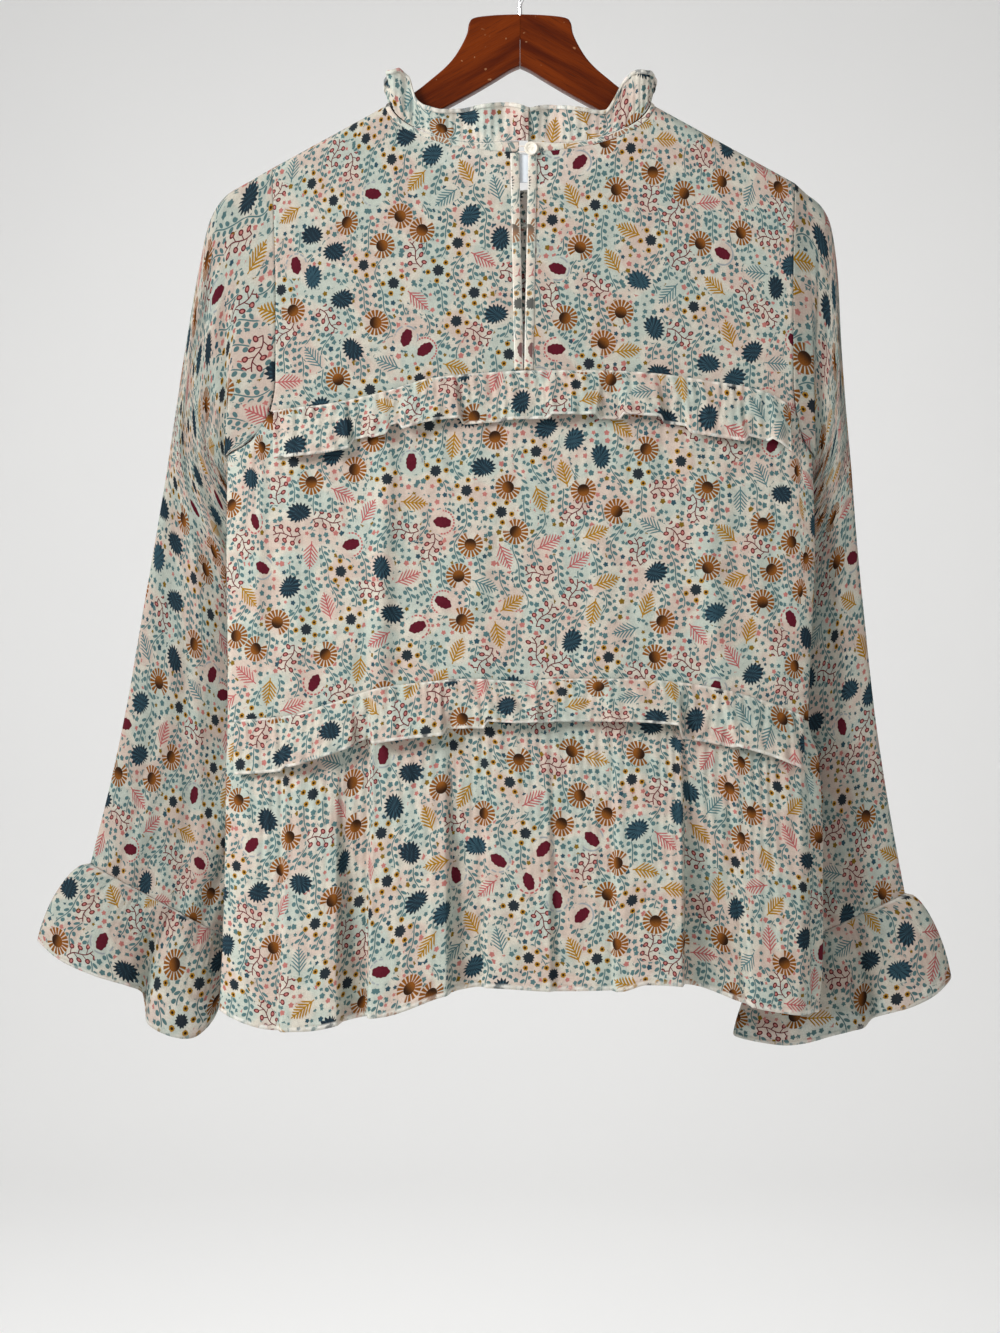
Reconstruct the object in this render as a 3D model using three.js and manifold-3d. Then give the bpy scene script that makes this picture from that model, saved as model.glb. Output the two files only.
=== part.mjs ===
// A long-sleeved chiffon blouse hanging on a wooden hanger, seen from its buttoned back.
// The back has a slit closed by one button, a frill in the yoke seam and a frill over a gathered
// lower tier; the neck has a gathered collar and each sleeve ends in a wide flounce.
// Millimetres, +Z up. The origin is the place inside the hook where a rail carries it.
// -Y is the buttoned back of the blouse, +Y its front, and -X its left side in that view.
import * as THREE from 'three';
import Module from 'manifold-3d';
import { mergeVertices } from 'three/addons/utils/BufferGeometryUtils.js';

const wasm = await Module();
wasm.setup();

// Driving dimensions
const clothWall = 1.2;
const frillWall = 1.0;
const seamGap = 0.3;
const foldGap = 0.5; // between the halves of a sleeve, along its folds
const sideGap = 0.3;
const armholeGap = 0.5;

const shoulder = { peak: -75, slope: 0.55, over: 9.5 };
const neck = { halfWidth: 102, backLow: -168, frontLow: -223, spread: 116 };
const slit = { x: 2.7, top: 7, bottom: 0.8, foot: -336, taper: 165 };
const waistGap = 0.6;
const waistFront = { middle: -568, side: -598 };
const binding = { width: 6.5, lift: 1.45 };
const collar = { flare: 3, wave: 3, waves: 14, overlap: 9, lap: 2.8, corner: 5 };
const label = { left: -4, right: 16, tall: 22, depth: 1.5 };
const underarm = -397;
const lensPower = 3.2;
const lensRise = { extra: 75, reach: 110 };
const button = { radius: 5.1, thick: 2.2, x: 8.2, z: -166.1, hole: 0.8, holeApart: 2.6, shank: 1.1 };
const loop = { wire: 0.45, radius: 2.1, start: -1.6 };
const hanger = {
  thick: 12, round: 4.5, joint: 0.15, seat: 1.2,
  wire: 1.7, hookRadius: 20.7, shankIn: 20, bore: 2.05, crownTop: -62,
};

// Half depths of the torso from its middle plane, down its height
const depths = [
  { z: -130, back: 11.5, front: 11.5 },
  { z: -200, back: 12.5, front: 12.5 },
  { z: -350, back: 15, front: 13 },
  { z: -560, back: 16, front: 13.5 },
  { z: -700, back: 18, front: 15 },
  { z: -830, back: 20, front: 16 },
];

// Side edges of the torso below the underarms
const outline = [
  { z: -397, left: -222, right: 222 },
  { z: -466, left: -223, right: 224 },
  { z: -562, left: -222, right: 220 },
  { z: -598, left: -222, right: 219 },
  { z: -628, left: -223, right: 227 },
  { z: -700, left: -224, right: 230 },
  { z: -770, left: -226, right: 230 },
  { z: -830, left: -229, right: 226 },
];

// Armhole seams from the shoulder to the underarm
const armholes = [
  { z: -150, left: -187, right: 208 },
  { z: -178, left: -187, right: 208 },
  { z: -215, left: -186, right: 207 },
  { z: -275, left: -184.5, right: 206 },
  { z: -340, left: -184.5, right: 206 },
  { z: -366, left: -189, right: 208 },
  { z: -386, left: -203, right: 214 },
  { z: -397, left: -222, right: 222 },
];

// Top edge of the back's middle tier: armhole, yoke seam and armhole again
const yokeSeam = [
  { x: -222, z: -397 },
  { x: -203, z: -386 },
  { x: -189, z: -366 },
  { x: -144, z: -360 },
  { x: -99, z: -350 },
  { x: -68, z: -341 },
  { x: -30, z: -337 },
  { x: 15, z: -335 },
  { x: 61, z: -335 },
  { x: 99, z: -337 },
  { x: 137, z: -342 },
  { x: 182, z: -350 },
  { x: 208, z: -366 },
  { x: 214, z: -386 },
  { x: 222, z: -397 },
];

// Waist seam, seen from the back
const waistSeam = [
  { x: -224, z: -599 },
  { x: -175, z: -595 },
  { x: -144, z: -586 },
  { x: -106, z: -574 },
  { x: -76, z: -570 },
  { x: -38, z: -567 },
  { x: 0, z: -569 },
  { x: 30, z: -567 },
  { x: 76, z: -567 },
  { x: 122, z: -570 },
  { x: 152, z: -575 },
  { x: 182, z: -583 },
  { x: 224, z: -599 },
];

// Bottom edge of the lower tier
const hemLine = [
  { x: -230, z: -812 },
  { x: -212, z: -821 },
  { x: -179, z: -829 },
  { x: -152, z: -828 },
  { x: -114, z: -819 },
  { x: -95, z: -816 },
  { x: -57, z: -802 },
  { x: -30, z: -796 },
  { x: 30, z: -799 },
  { x: 72, z: -798 },
  { x: 91, z: -793 },
  { x: 122, z: -795 },
  { x: 171, z: -811 },
  { x: 222, z: -818 },
  { x: 230, z: -811 },
];

// Heights of the neck band and the collar, round from the centre back to the centre front
const neckHeights = [
  { angle: 0, band: 7.8, collar: 29 },
  { angle: 7, band: 7.4, collar: 29 },
  { angle: 16, band: 5, collar: 28 },
  { angle: 28, band: 3.6, collar: 24 },
  { angle: 40, band: 3.6, collar: 19 },
  { angle: 55, band: 3.6, collar: 21 },
  { angle: 75, band: 3.6, collar: 23 },
  { angle: 90, band: 3.6, collar: 24 },
  { angle: 120, band: 3.6, collar: 27 },
  { angle: 180, band: 3.6, collar: 28 },
];

// Folds of each tier, from left to right: where each begins at its top and foot, and how far it stands out
const backTierFolds = [
  { top: -230, foot: -230, out: 1 },
  { top: -221, foot: -221, out: 4 },
  { top: -178, foot: -180, out: 11 },
  { top: -137, foot: -135, out: 1 },
  { top: -112, foot: -114, out: 13 },
  { top: -54, foot: -53, out: 4 },
  { top: -26, foot: -27, out: 9 },
  { top: 22, foot: 24, out: 6 },
  { top: 71, foot: 70, out: 13 },
  { top: 123, foot: 122, out: 1 },
  { top: 152, foot: 172, out: 12 },
  { top: 216, foot: 219, out: 2 },
];
const frontTierFolds = [
  { top: -230, foot: -230, out: 1 },
  { top: -205, foot: -203, out: 5 },
  { top: -160, foot: -163, out: 1 },
  { top: -122, foot: -120, out: 9 },
  { top: -74, foot: -78, out: 2 },
  { top: -38, foot: -36, out: 10 },
  { top: 14, foot: 16, out: 3 },
  { top: 52, foot: 50, out: 10 },
  { top: 100, foot: 104, out: 2 },
  { top: 138, foot: 136, out: 6 },
  { top: 188, foot: 192, out: 1 },
];
const tierTurn = 7;
const tierFade = 22;

// Frills: where each fold begins, how far it stands out and how far it hangs
const yokeFrillFolds = [
  { top: -186, foot: -186, out: 2, drop: 35 },
  { top: -176, foot: -178, out: 6, drop: 37 },
  { top: -131, foot: -127, out: 1.5, drop: 31 },
  { top: -115, foot: -113, out: 6, drop: 33 },
  { top: -98, foot: -99, out: 3, drop: 27 },
  { top: -84, foot: -90, out: 7, drop: 33 },
  { top: -49, foot: -44, out: 2, drop: 38 },
  { top: -14, foot: -13, out: 5, drop: 37 },
  { top: 19, foot: 22, out: 8, drop: 34 },
  { top: 62, foot: 58, out: 3.5, drop: 37 },
  { top: 74, foot: 76, out: 7, drop: 33 },
  { top: 104, foot: 107, out: 2, drop: 37 },
  { top: 121, foot: 126, out: 6, drop: 42 },
  { top: 163, foot: 170, out: 4, drop: 37 },
  { top: 190, foot: 188, out: 7, drop: 34 },
];
const backWaistFolds = [
  { top: -222, foot: -222, out: 3, drop: 41 },
  { top: -178, foot: -179, out: 8, drop: 38 },
  { top: -127, foot: -124, out: 2, drop: 36 },
  { top: -113, foot: -112, out: 9, drop: 41 },
  { top: -60, foot: -57, out: 4, drop: 37 },
  { top: -29, foot: -26, out: 9, drop: 31 },
  { top: 12, foot: 14, out: 6, drop: 32 },
  { top: 64, foot: 66, out: 10, drop: 32 },
  { top: 122, foot: 120, out: 4, drop: 42 },
  { top: 150, foot: 161, out: 10, drop: 40 },
  { top: 207, foot: 212, out: 4, drop: 38 },
];
const frontWaistFolds = [
  { top: -222, foot: -222, out: 2, drop: 38 },
  { top: -190, foot: -188, out: 5, drop: 37 },
  { top: -140, foot: -142, out: 2, drop: 36 },
  { top: -104, foot: -100, out: 8, drop: 37 },
  { top: -56, foot: -58, out: 3, drop: 34 },
  { top: -14, foot: -10, out: 8, drop: 35 },
  { top: 38, foot: 34, out: 3, drop: 34 },
  { top: 78, foot: 82, out: 7, drop: 37 },
  { top: 128, foot: 126, out: 2, drop: 36 },
  { top: 166, foot: 168, out: 5, drop: 38 },
  { top: 204, foot: 206, out: 2, drop: 38 },
];
const frillTurn = 6;
const frillHead = 1.5;
const frillLift = 1.6;

// Long soft folds in the back's middle tier
const middleFolds = [
  { topX: -99, footX: -107, head: -365, foot: -590, out: 5, wide: 16 },
  { topX: 139, footX: 151, head: -410, foot: -590, out: 3.5, wide: 18 },
  { topX: -196, footX: -200, head: -400, foot: -590, out: 2.5, wide: 12 },
  { topX: 60, footX: 66, head: -440, foot: -600, out: 2, wide: 26 },
  { topX: -30, footX: -36, head: -420, foot: -600, out: 2, wide: 24 },
];

// Sleeve sections from the shoulder down: outer edge, inner edge and half depth
const sleeveLeft = [
  {
    outX: -206, outZ: -188.5, outY: 0, inX: -228.5, inZ: -397.5, inY: 2,
    half: 10.5, bend: 1, square: 6, cap: 1, crease: 0.1, step: 0,
  },
  {
    outX: -223, outZ: -199, outY: 0, inX: -231.5, inZ: -404, inY: 4,
    half: 9.5, bend: 1, square: 6, cap: 0.9, crease: 0.1, step: 0,
  },
  {
    outX: -235, outZ: -217, outY: 1, inX: -235, inZ: -417, inY: 10,
    half: 7, bend: 7, square: 5, cap: 0.4, crease: 0.1, step: 0,
  },
  {
    outX: -244, outZ: -255, outY: 2, inX: -214, inZ: -432, inY: 19,
    half: 6, bend: 9.8, square: 4, cap: 0.1, crease: 0.12, step: 0,
  },
  {
    outX: -253, outZ: -305, outY: 4, inX: -199, inZ: -454, inY: 24,
    half: 6, bend: 4.4, square: 3.4, cap: 0, crease: 0.15, step: 0.5,
  },
  {
    outX: -262, outZ: -360, outY: 7, inX: -188, inZ: -485, inY: 27,
    half: 6.5, bend: 2, square: 3, cap: 0, crease: 0.18, step: 1,
  },
  {
    outX: -270, outZ: -410, outY: 10, inX: -183, inZ: -521, inY: 30,
    half: 7, bend: 1.2, square: 2.8, cap: 0, crease: 0.22, step: 2,
  },
  {
    outX: -280, outZ: -465, outY: 14, inX: -182, inZ: -561, inY: 34,
    half: 7.5, bend: 1, square: 2.6, cap: 0, crease: 0.3, step: 3,
  },
  {
    outX: -291, outZ: -525, outY: 18, inX: -185, inZ: -606, inY: 38,
    half: 8, bend: 1, square: 2.6, cap: 0, crease: 0.37, step: 3.5,
  },
  {
    outX: -302, outZ: -585, outY: 22, inX: -192, inZ: -655, inY: 41,
    half: 8, bend: 1, square: 2.6, cap: 0, crease: 0.46, step: 4,
  },
  {
    outX: -315, outZ: -645, outY: 25, inX: -205, inZ: -708, inY: 42,
    half: 8.5, bend: 1, square: 2.6, cap: 0, crease: 0.58, step: 4,
  },
  {
    outX: -331, outZ: -708, outY: 27, inX: -226, inZ: -766, inY: 41,
    half: 9, bend: 1, square: 2.6, cap: 0, crease: 0.68, step: 4,
  },
];
const sleeveRight = [
  {
    outX: 217, outZ: -197.5, outY: 0, inX: 228.5, inZ: -397.5, inY: 2,
    half: 10.5, bend: 1, square: 6, cap: 1, crease: 0.9, step: 0,
  },
  {
    outX: 227, outZ: -205.5, outY: 0, inX: 231.5, inZ: -404, inY: 4,
    half: 9.5, bend: 1, square: 6, cap: 0.9, crease: 0.9, step: 0,
  },
  {
    outX: 235, outZ: -219, outY: 1, inX: 235, inZ: -417, inY: 10,
    half: 7, bend: 7, square: 5, cap: 0.4, crease: 0.9, step: 0,
  },
  {
    outX: 241, outZ: -255, outY: 2, inX: 214, inZ: -432, inY: 19,
    half: 6, bend: 9.8, square: 4, cap: 0.1, crease: 0.9, step: 0,
  },
  {
    outX: 244, outZ: -305, outY: 4, inX: 198, inZ: -454, inY: 24,
    half: 6, bend: 4.6, square: 3.4, cap: 0, crease: 0.9, step: 0,
  },
  {
    outX: 248, outZ: -355, outY: 7, inX: 182, inZ: -482, inY: 28,
    half: 6.5, bend: 2.1, square: 3, cap: 0, crease: 0.85, step: 0,
  },
  {
    outX: 253, outZ: -405, outY: 10, inX: 169, inZ: -517, inY: 32,
    half: 7, bend: 1.3, square: 2.8, cap: 0, crease: 0.8, step: 0.5,
  },
  {
    outX: 258, outZ: -460, outY: 14, inX: 162, inZ: -558, inY: 36,
    half: 7.5, bend: 1, square: 2.6, cap: 0, crease: 0.75, step: 1,
  },
  {
    outX: 265, outZ: -525, outY: 18, inX: 158, inZ: -605, inY: 41,
    half: 8, bend: 1, square: 2.6, cap: 0, crease: 0.6, step: 1.5,
  },
  {
    outX: 273, outZ: -592, outY: 22, inX: 158, inZ: -657, inY: 44,
    half: 8, bend: 1, square: 2.6, cap: 0, crease: 0.55, step: 2,
  },
  {
    outX: 284, outZ: -662, outY: 25, inX: 165, inZ: -719, inY: 45,
    half: 8.5, bend: 1, square: 2.6, cap: 0, crease: 0.5, step: 2,
  },
  {
    outX: 297, outZ: -731, outY: 27, inX: 186, inZ: -784, inY: 44,
    half: 9, bend: 1, square: 2.6, cap: 0, crease: 0.45, step: 2,
  },
];

// Bottom edge of each sleeve flounce: round from the outer edge, over the back, in, and back over the front
const flounceLeft = [
  { x: -372, y: 27, z: -768 },
  { x: -352, y: 15, z: -782 },
  { x: -325, y: 10, z: -793 },
  { x: -301, y: 14, z: -801 },
  { x: -291, y: 25, z: -808 },
  { x: -289, y: 27, z: -822 },
  { x: -284, y: 13, z: -831 },
  { x: -266, y: 8, z: -839 },
  { x: -249, y: 12, z: -840 },
  { x: -236, y: 24, z: -828 },
  { x: -232, y: 38, z: -812 },
  { x: -246, y: 50, z: -818 },
  { x: -268, y: 43, z: -814 },
  { x: -290, y: 54, z: -804 },
  { x: -318, y: 46, z: -797 },
  { x: -344, y: 54, z: -786 },
  { x: -365, y: 42, z: -774 },
];
const flounceRight = [
  { x: 333, y: 27, z: -796 },
  { x: 319, y: 15, z: -808 },
  { x: 299, y: 10, z: -817 },
  { x: 279, y: 13, z: -823 },
  { x: 272, y: 26, z: -828 },
  { x: 266, y: 27, z: -835 },
  { x: 255, y: 16, z: -836 },
  { x: 240, y: 22, z: -841 },
  { x: 220, y: 30, z: -848 },
  { x: 200, y: 36, z: -850 },
  { x: 168, y: 41, z: -844 },
  { x: 176, y: 54, z: -838 },
  { x: 202, y: 48, z: -842 },
  { x: 232, y: 58, z: -832 },
  { x: 262, y: 48, z: -826 },
  { x: 292, y: 58, z: -815 },
  { x: 320, y: 44, z: -804 },
];

const inks = {
  cloth: 0xd9d8cf, trim: 0xe9dfd8, wood: 0x6f2410, metal: 0xb9bbbd, button: 0xeeebdf, label: 0xdfe6ee,
};

const clamp = (value) => Math.min(1, Math.max(0, value));
const lerp = (a, b, share) => a + (b - a) * share;
const smooth = (value) => clamp(value) ** 2 * (3 - 2 * clamp(value));
const turned = (degrees) => THREE.MathUtils.degToRad(degrees);

// Value of a table's column at a place, on a smooth line through its rows that never overshoots
function curve(table, key, column, at) {
  const last = table.length - 1;
  const up = Math.sign(table[last][key] - table[0][key]);
  let i = 0;
  while (i < last - 1 && (at - table[i + 1][key]) * up > 0) {
    i += 1;
  }
  const slope = (n) => (table[n + 1][column] - table[n][column]) / (table[n + 1][key] - table[n][key]);
  const between = (a, b) => (a * b > 0 ? (2 * a * b) / (a + b) : 0);
  const here = slope(i);
  const start = i > 0 ? between(slope(i - 1), here) : here;
  const end = i < last - 1 ? between(here, slope(i + 1)) : here;
  const span = table[i + 1][key] - table[i][key];
  const t = clamp((at - table[i][key]) / span);
  const t2 = t * t;
  const t3 = t2 * t;
  return table[i][column] * (2 * t3 - 3 * t2 + 1) + table[i + 1][column] * (3 * t2 - 2 * t3)
    + span * (start * (t3 - 2 * t2 + t) + end * (t3 - t2));
}

// Level of a table of folds at a place: nearly flat over each fold, turned over quickly at its edges
function folded(folds, column, x, down, turn) {
  let level = folds[0][column];
  for (let i = 1; i < folds.length; i += 1) {
    const edge = lerp(folds[i].top, folds[i].foot, down);
    level += (folds[i][column] - folds[i - 1][column]) * smooth((x - edge) / turn + 0.5);
  }
  return level;
}

// Columns for a folded strip: points close to its ends, then both sides of each fold's edge and its middle
function foldColumns(folds, turn, left, right, ends) {
  const inset = ends[ends.length - 1];
  const inner = inset + turn / 2;
  const inside = folds.filter((fold) => fold.top > left + inner && fold.top < right - inner);
  const straight = (place) => ({ top: place, foot: place });
  const middle = (a, b) => ({ top: (a.top + b.top) / 2, foot: (a.foot + b.foot) / 2 });
  const columns = ends.map((end) => straight(left + end));
  for (const fold of inside) {
    const near = { top: fold.top - turn / 2, foot: fold.foot - turn / 2 };
    columns.push(middle(columns[columns.length - 1], near), near, { top: fold.top, foot: fold.foot },
      { top: fold.top + turn / 2, foot: fold.foot + turn / 2 });
  }
  columns.push(middle(columns[columns.length - 1], straight(right - inset)));
  return [...columns, ...[...ends].reverse().map((end) => straight(right - end))];
}

// Torso: its seams and edges seen from the back, and how deep it is
const shoulderZ = (x) => shoulder.peak - shoulder.slope * Math.abs(x);
const neckZ = (x, side) => {
  const low = side < 0 ? neck.backLow : neck.frontLow;
  const share = Math.min(1, Math.abs(x) / neck.halfWidth);
  return lerp(low, shoulderZ(neck.halfWidth), 1 - Math.sqrt(1 - share * share));
};
const topZ = (x, side) => (Math.abs(x) < neck.halfWidth - 1e-6 ? neckZ(x, side) : shoulderZ(x));
const edgeX = (z, end) => (z > underarm ? curve(armholes, 'z', end, z) : curve(outline, 'z', end, z));
const slitWidth = (z) => lerp(slit.bottom, slit.top, clamp((z - slit.foot) / slit.taper));
const slitEdge = (z, end) => slit.x + (end * slitWidth(z)) / 2;
const waistZ = (x, side) => (side < 0 ? curve(waistSeam, 'x', 'z', x)
  : lerp(waistFront.middle, waistFront.side, (Math.abs(x) / -outline[0].left) ** 2));

function torsoDepth(x, z, side) {
  const half = Math.abs(curve(outline, 'z', x < 0 ? 'left' : 'right', Math.min(z, underarm)))
    + lensRise.extra * smooth((z - underarm) / lensRise.reach);
  const lens = Math.max(0, 1 - Math.min(1, Math.abs(x) / half) ** lensPower) ** (1 / lensPower);
  const below = clamp((shoulderZ(x) - z) / shoulder.over);
  const ridge = Math.sqrt(Math.max(0, 1 - (1 - below) ** 2));
  let depth = curve(depths, 'z', side < 0 ? 'back' : 'front', z) * lens * ridge;
  for (const fold of side < 0 ? middleFolds : []) {
    const down = clamp((z - fold.head) / (fold.foot - fold.head));
    const away = (x - lerp(fold.topX, fold.footX, down)) / fold.wide;
    depth += fold.out * Math.sin(Math.PI * down) ** 0.8 * lens * Math.exp(-4 * away * away);
  }
  return Math.max(sideGap, depth);
}
const onTorso = (x, z, side, out = 0) => new THREE.Vector3(x, side * (torsoDepth(x, z, side) + out), z);

// A closed wall from a grid of points on its middle surface. Its sides are open edges, meet in a loop,
// or lie on a fold of the cloth, where their faces look along Y at the other half.
function wall(name, colour, across, down, point, thickness, sides = 'open') {
  const loopAcross = sides === 'loop';
  const grid = [];
  for (let j = 0; j < down; j += 1) {
    for (let i = 0; i < across; i += 1) {
      grid.push(point(i, j));
    }
  }
  const within = (n, count) => Math.min(count - 1, Math.max(0, n));
  const column = (i) => (loopAcross ? (i + across) % across : within(i, across));
  const inside = (i, j) => grid[within(j, down) * across + column(i)];
  const beyond = (edge, inner) => new THREE.Vector3(inner.x, 2 * edge.y - inner.y, inner.z);
  const at = (i, j) => {
    if (sides === 'folded' && (i < 0 || i >= across)) {
      return beyond(inside(i, j), inside(i < 0 ? 1 : across - 2, j));
    }
    return inside(i, j);
  };
  const positions = [];
  for (const face of [1, -1]) {
    for (let j = 0; j < down; j += 1) {
      for (let i = 0; i < across; i += 1) {
        const along = at(i + 1, j).clone().sub(at(i - 1, j));
        const fall = at(i, j + 1).clone().sub(at(i, j - 1));
        const normal = along.cross(fall).normalize();
        positions.push(...at(i, j).clone().addScaledVector(normal, (face * thickness) / 2));
      }
    }
  }
  const back = across * down;
  const indices = [];
  const quad = (a, b, c, d) => indices.push(a, b, c, a, c, d);
  const spans = loopAcross ? across : across - 1;
  for (let j = 0; j < down - 1; j += 1) {
    for (let i = 0; i < spans; i += 1) {
      const a = j * across + i;
      const b = j * across + ((i + 1) % across);
      quad(a, b, b + across, a + across);
      quad(back + b, back + a, back + a + across, back + b + across);
    }
    if (!loopAcross) {
      const left = j * across;
      const right = left + across - 1;
      quad(back + left, left, left + across, back + left + across);
      quad(right, back + right, back + right + across, right + across);
    }
  }
  for (let i = 0; i < spans; i += 1) {
    const next = (i + 1) % across;
    const foot = (down - 1) * across;
    quad(back + i, back + next, next, i);
    quad(foot + i, foot + next, back + foot + next, back + foot + i);
  }
  const geometry = new THREE.BufferGeometry();
  geometry.setAttribute('position', new THREE.Float32BufferAttribute(positions, 3));
  geometry.setIndex(indices);
  if (volume(geometry) < 0) {
    geometry.setIndex(indices.map((_, n) => indices[n % 3 === 0 ? n : n + (n % 3 === 1 ? 1 : -1)]));
  }
  return mesh(name, geometry, colour);
}

function volume(geometry) {
  const { position } = geometry.attributes;
  const corner = (n) => new THREE.Vector3().fromBufferAttribute(position, geometry.index.getX(n));
  let total = 0;
  for (let n = 0; n < geometry.index.count; n += 3) {
    total += corner(n).dot(corner(n + 1).cross(corner(n + 2))) / 6;
  }
  return total;
}

function mesh(name, geometry, colour, metalness = 0, roughness = 0.8) {
  geometry.computeVertexNormals();
  const material = new THREE.MeshStandardMaterial({ color: colour, roughness, metalness });
  const made = new THREE.Mesh(geometry, material);
  made.name = name;
  return made;
}

function toSolid(geometry) {
  const bare = geometry.clone();
  bare.deleteAttribute('normal');
  bare.deleteAttribute('uv');
  const merged = mergeVertices(bare, 1e-4);
  return new wasm.Manifold(new wasm.Mesh({
    numProp: 3,
    vertProperties: new Float32Array(merged.attributes.position.array),
    triVerts: new Uint32Array(merged.index.array),
  }));
}

function fromSolid(solid) {
  const made = solid.getMesh();
  const geometry = new THREE.BufferGeometry();
  geometry.setAttribute('position', new THREE.Float32BufferAttribute(made.vertProperties, 3));
  geometry.setIndex(new THREE.Uint32BufferAttribute(made.triVerts, 1));
  return geometry;
}

const blouse = new THREE.Group();

// Back yoke: two halves from the neck and shoulders down to the yoke seam, on either side of the slit
const overTurns = [0, 28, 56, 90].map(turned);
const overDrop = (row) => shoulder.over * (1 - Math.cos(overTurns[Math.min(row, overTurns.length - 1)]));
const neckTurns = [90, 88.8, 86, 80, 71, 60, 49, 37, 25, 13];
const shoulderShares = [0, 0.3, 0.6, 0.85];
const armholeTop = armholes[0];
const yokeFoot = yokeSeam.find((row) => row.z > -365).z;
const yokeRows = 10;

// Places along the top edge from an armhole to the last point before the middle of the neck
const topPlaces = (end) => [
  ...shoulderShares.map((share) => lerp(armholeTop[end < 0 ? 'left' : 'right'], end * neck.halfWidth, share)),
  ...neckTurns.map((degrees) => end * neck.halfWidth * Math.sin(turned(degrees))),
];

// Where a column that starts at a place on the top edge comes down: those from the neck spread out evenly
function spreadPlace(place) {
  const away = Math.abs(place);
  if (away < neck.halfWidth - 1e-6) {
    return (Math.sign(place) * neck.spread * Math.asin(away / neck.halfWidth)) / turned(90);
  }
  const arm = Math.abs(armholeTop[place < 0 ? 'left' : 'right']);
  return Math.sign(place) * lerp(neck.spread, arm, (away - neck.halfWidth) / (arm - neck.halfWidth));
}

const overSpread = 0.15;
const spreadStart = (row) => overSpread * Math.min(1, row / (overTurns.length - 1));
const spreadShare = (row, down) => lerp(spreadStart(row), 1, 1 - (1 - down) ** 3);

function yokePoint(end, place, row) {
  const outer = end < 0 ? 'left' : 'right';
  const armX = armholeTop[outer];
  const over = overTurns.length - 1;
  const down = Math.max(0, row - over) / (yokeRows - 1 - over);
  const slitTop = slitEdge(neck.backLow, end);
  const start = (place - armX) / (slitTop - armX);
  const finish = (spreadPlace(place) - armX) / (spreadPlace(slitTop) - armX);
  const across = lerp(start, finish, spreadShare(row, down));
  let foot = yokeFoot;
  for (let pass = 0; pass < 3; pass += 1) {
    foot = curve(yokeSeam, 'x', 'z', lerp(edgeX(foot, outer), slitEdge(foot, end), across)) + seamGap / 2;
  }
  const z = lerp(topZ(place, -1) - overDrop(row), foot, down);
  return onTorso(lerp(edgeX(z, outer), slitEdge(z, end), across), z, -1);
}

const yokePlaces = (end) => [...topPlaces(end), slitEdge(neck.backLow, end)];
for (const [name, end] of [['back_yoke_left', -1], ['back_yoke_right', 1]]) {
  const places = yokePlaces(end);
  const point = (i, j) => yokePoint(end, places[i], j);
  blouse.add(wall(name, inks.cloth, places.length, yokeRows, point, clothWall));
}

// Bindings along the slit, on the yoke's points moved out
const bindingRows = 9;
for (const [name, end] of [['slit_binding_left', -1], ['slit_binding_right', 1]]) {
  blouse.add(wall(name, inks.trim, 3, bindingRows, (i, j) => {
    const z = lerp(neck.backLow - 1, slit.foot + 3, j / (bindingRows - 1));
    return onTorso(slitEdge(z, end) + (end * binding.width * i) / 2, z, -1, binding.lift);
  }, frillWall));
}

// Back middle tier, from the yoke seam and the armholes down to the waist seam
const sideEnds = [0, 0.8, 4, 12, 22];
const middleRows = 10;
const yokeFootPlaces = (end) => yokePlaces(end).map((place) => yokePoint(end, place, yokeRows - 1).x);
const sidePlaces = (end) => sideEnds.map((inset) => end * (outline[0].right - inset))
  .filter((place) => Math.abs(place) > Math.abs(edgeX(yokeFoot, end < 0 ? 'left' : 'right')) + 2);
const middlePlaces = [
  ...sidePlaces(-1), ...yokeFootPlaces(-1), ...yokeFootPlaces(1).reverse(), ...sidePlaces(1).reverse(),
];
function middlePoint(place, row) {
  const share = (place - outline[0].left) / (outline[0].right - outline[0].left);
  const z = lerp(curve(yokeSeam, 'x', 'z', place) - seamGap / 2, waistZ(place, -1) + waistGap / 2,
    row / (middleRows - 1));
  const x = lerp(curve(outline, 'z', 'left', Math.min(z, underarm)),
    curve(outline, 'z', 'right', Math.min(z, underarm)), share);
  return onTorso(x, z, -1);
}
blouse.add(wall('back_middle', inks.cloth, middlePlaces.length, middleRows,
  (i, j) => middlePoint(middlePlaces[i], j), clothWall));

// Front, in one piece from the neck and shoulders to the waist seam
const frontEnds = [0.9, 4, 12];
const frontPlaces = [
  armholeTop.left, ...frontEnds.map((end) => armholeTop.left + end), ...topPlaces(-1).slice(1), 0,
  ...topPlaces(1).slice(1).reverse(), ...[...frontEnds].reverse().map((end) => armholeTop.right - end),
  armholeTop.right,
];
const frontDown = [0.12, 0.25, 0.37, 0.43, 0.475, 0.495, 0.51, 0.62, 0.74, 0.87, 1];
const frontRows = overTurns.length + frontDown.length;
function frontPoint(place, row) {
  const down = row < overTurns.length ? 0 : frontDown[row - overTurns.length];
  const across = lerp(place, spreadPlace(place), spreadShare(row, down));
  const share = (across - armholeTop.left) / (armholeTop.right - armholeTop.left);
  const foot = waistZ(lerp(outline[0].left, outline[0].right, share), 1) + waistGap / 2;
  const z = lerp(topZ(place, 1) - overDrop(row), foot, down);
  return onTorso(lerp(edgeX(z, 'left'), edgeX(z, 'right'), share), z, 1);
}
const frontAt = (i, j) => frontPoint(frontPlaces[i], j);
blouse.add(wall('front', inks.cloth, frontPlaces.length, frontRows, frontAt, clothWall));

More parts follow.
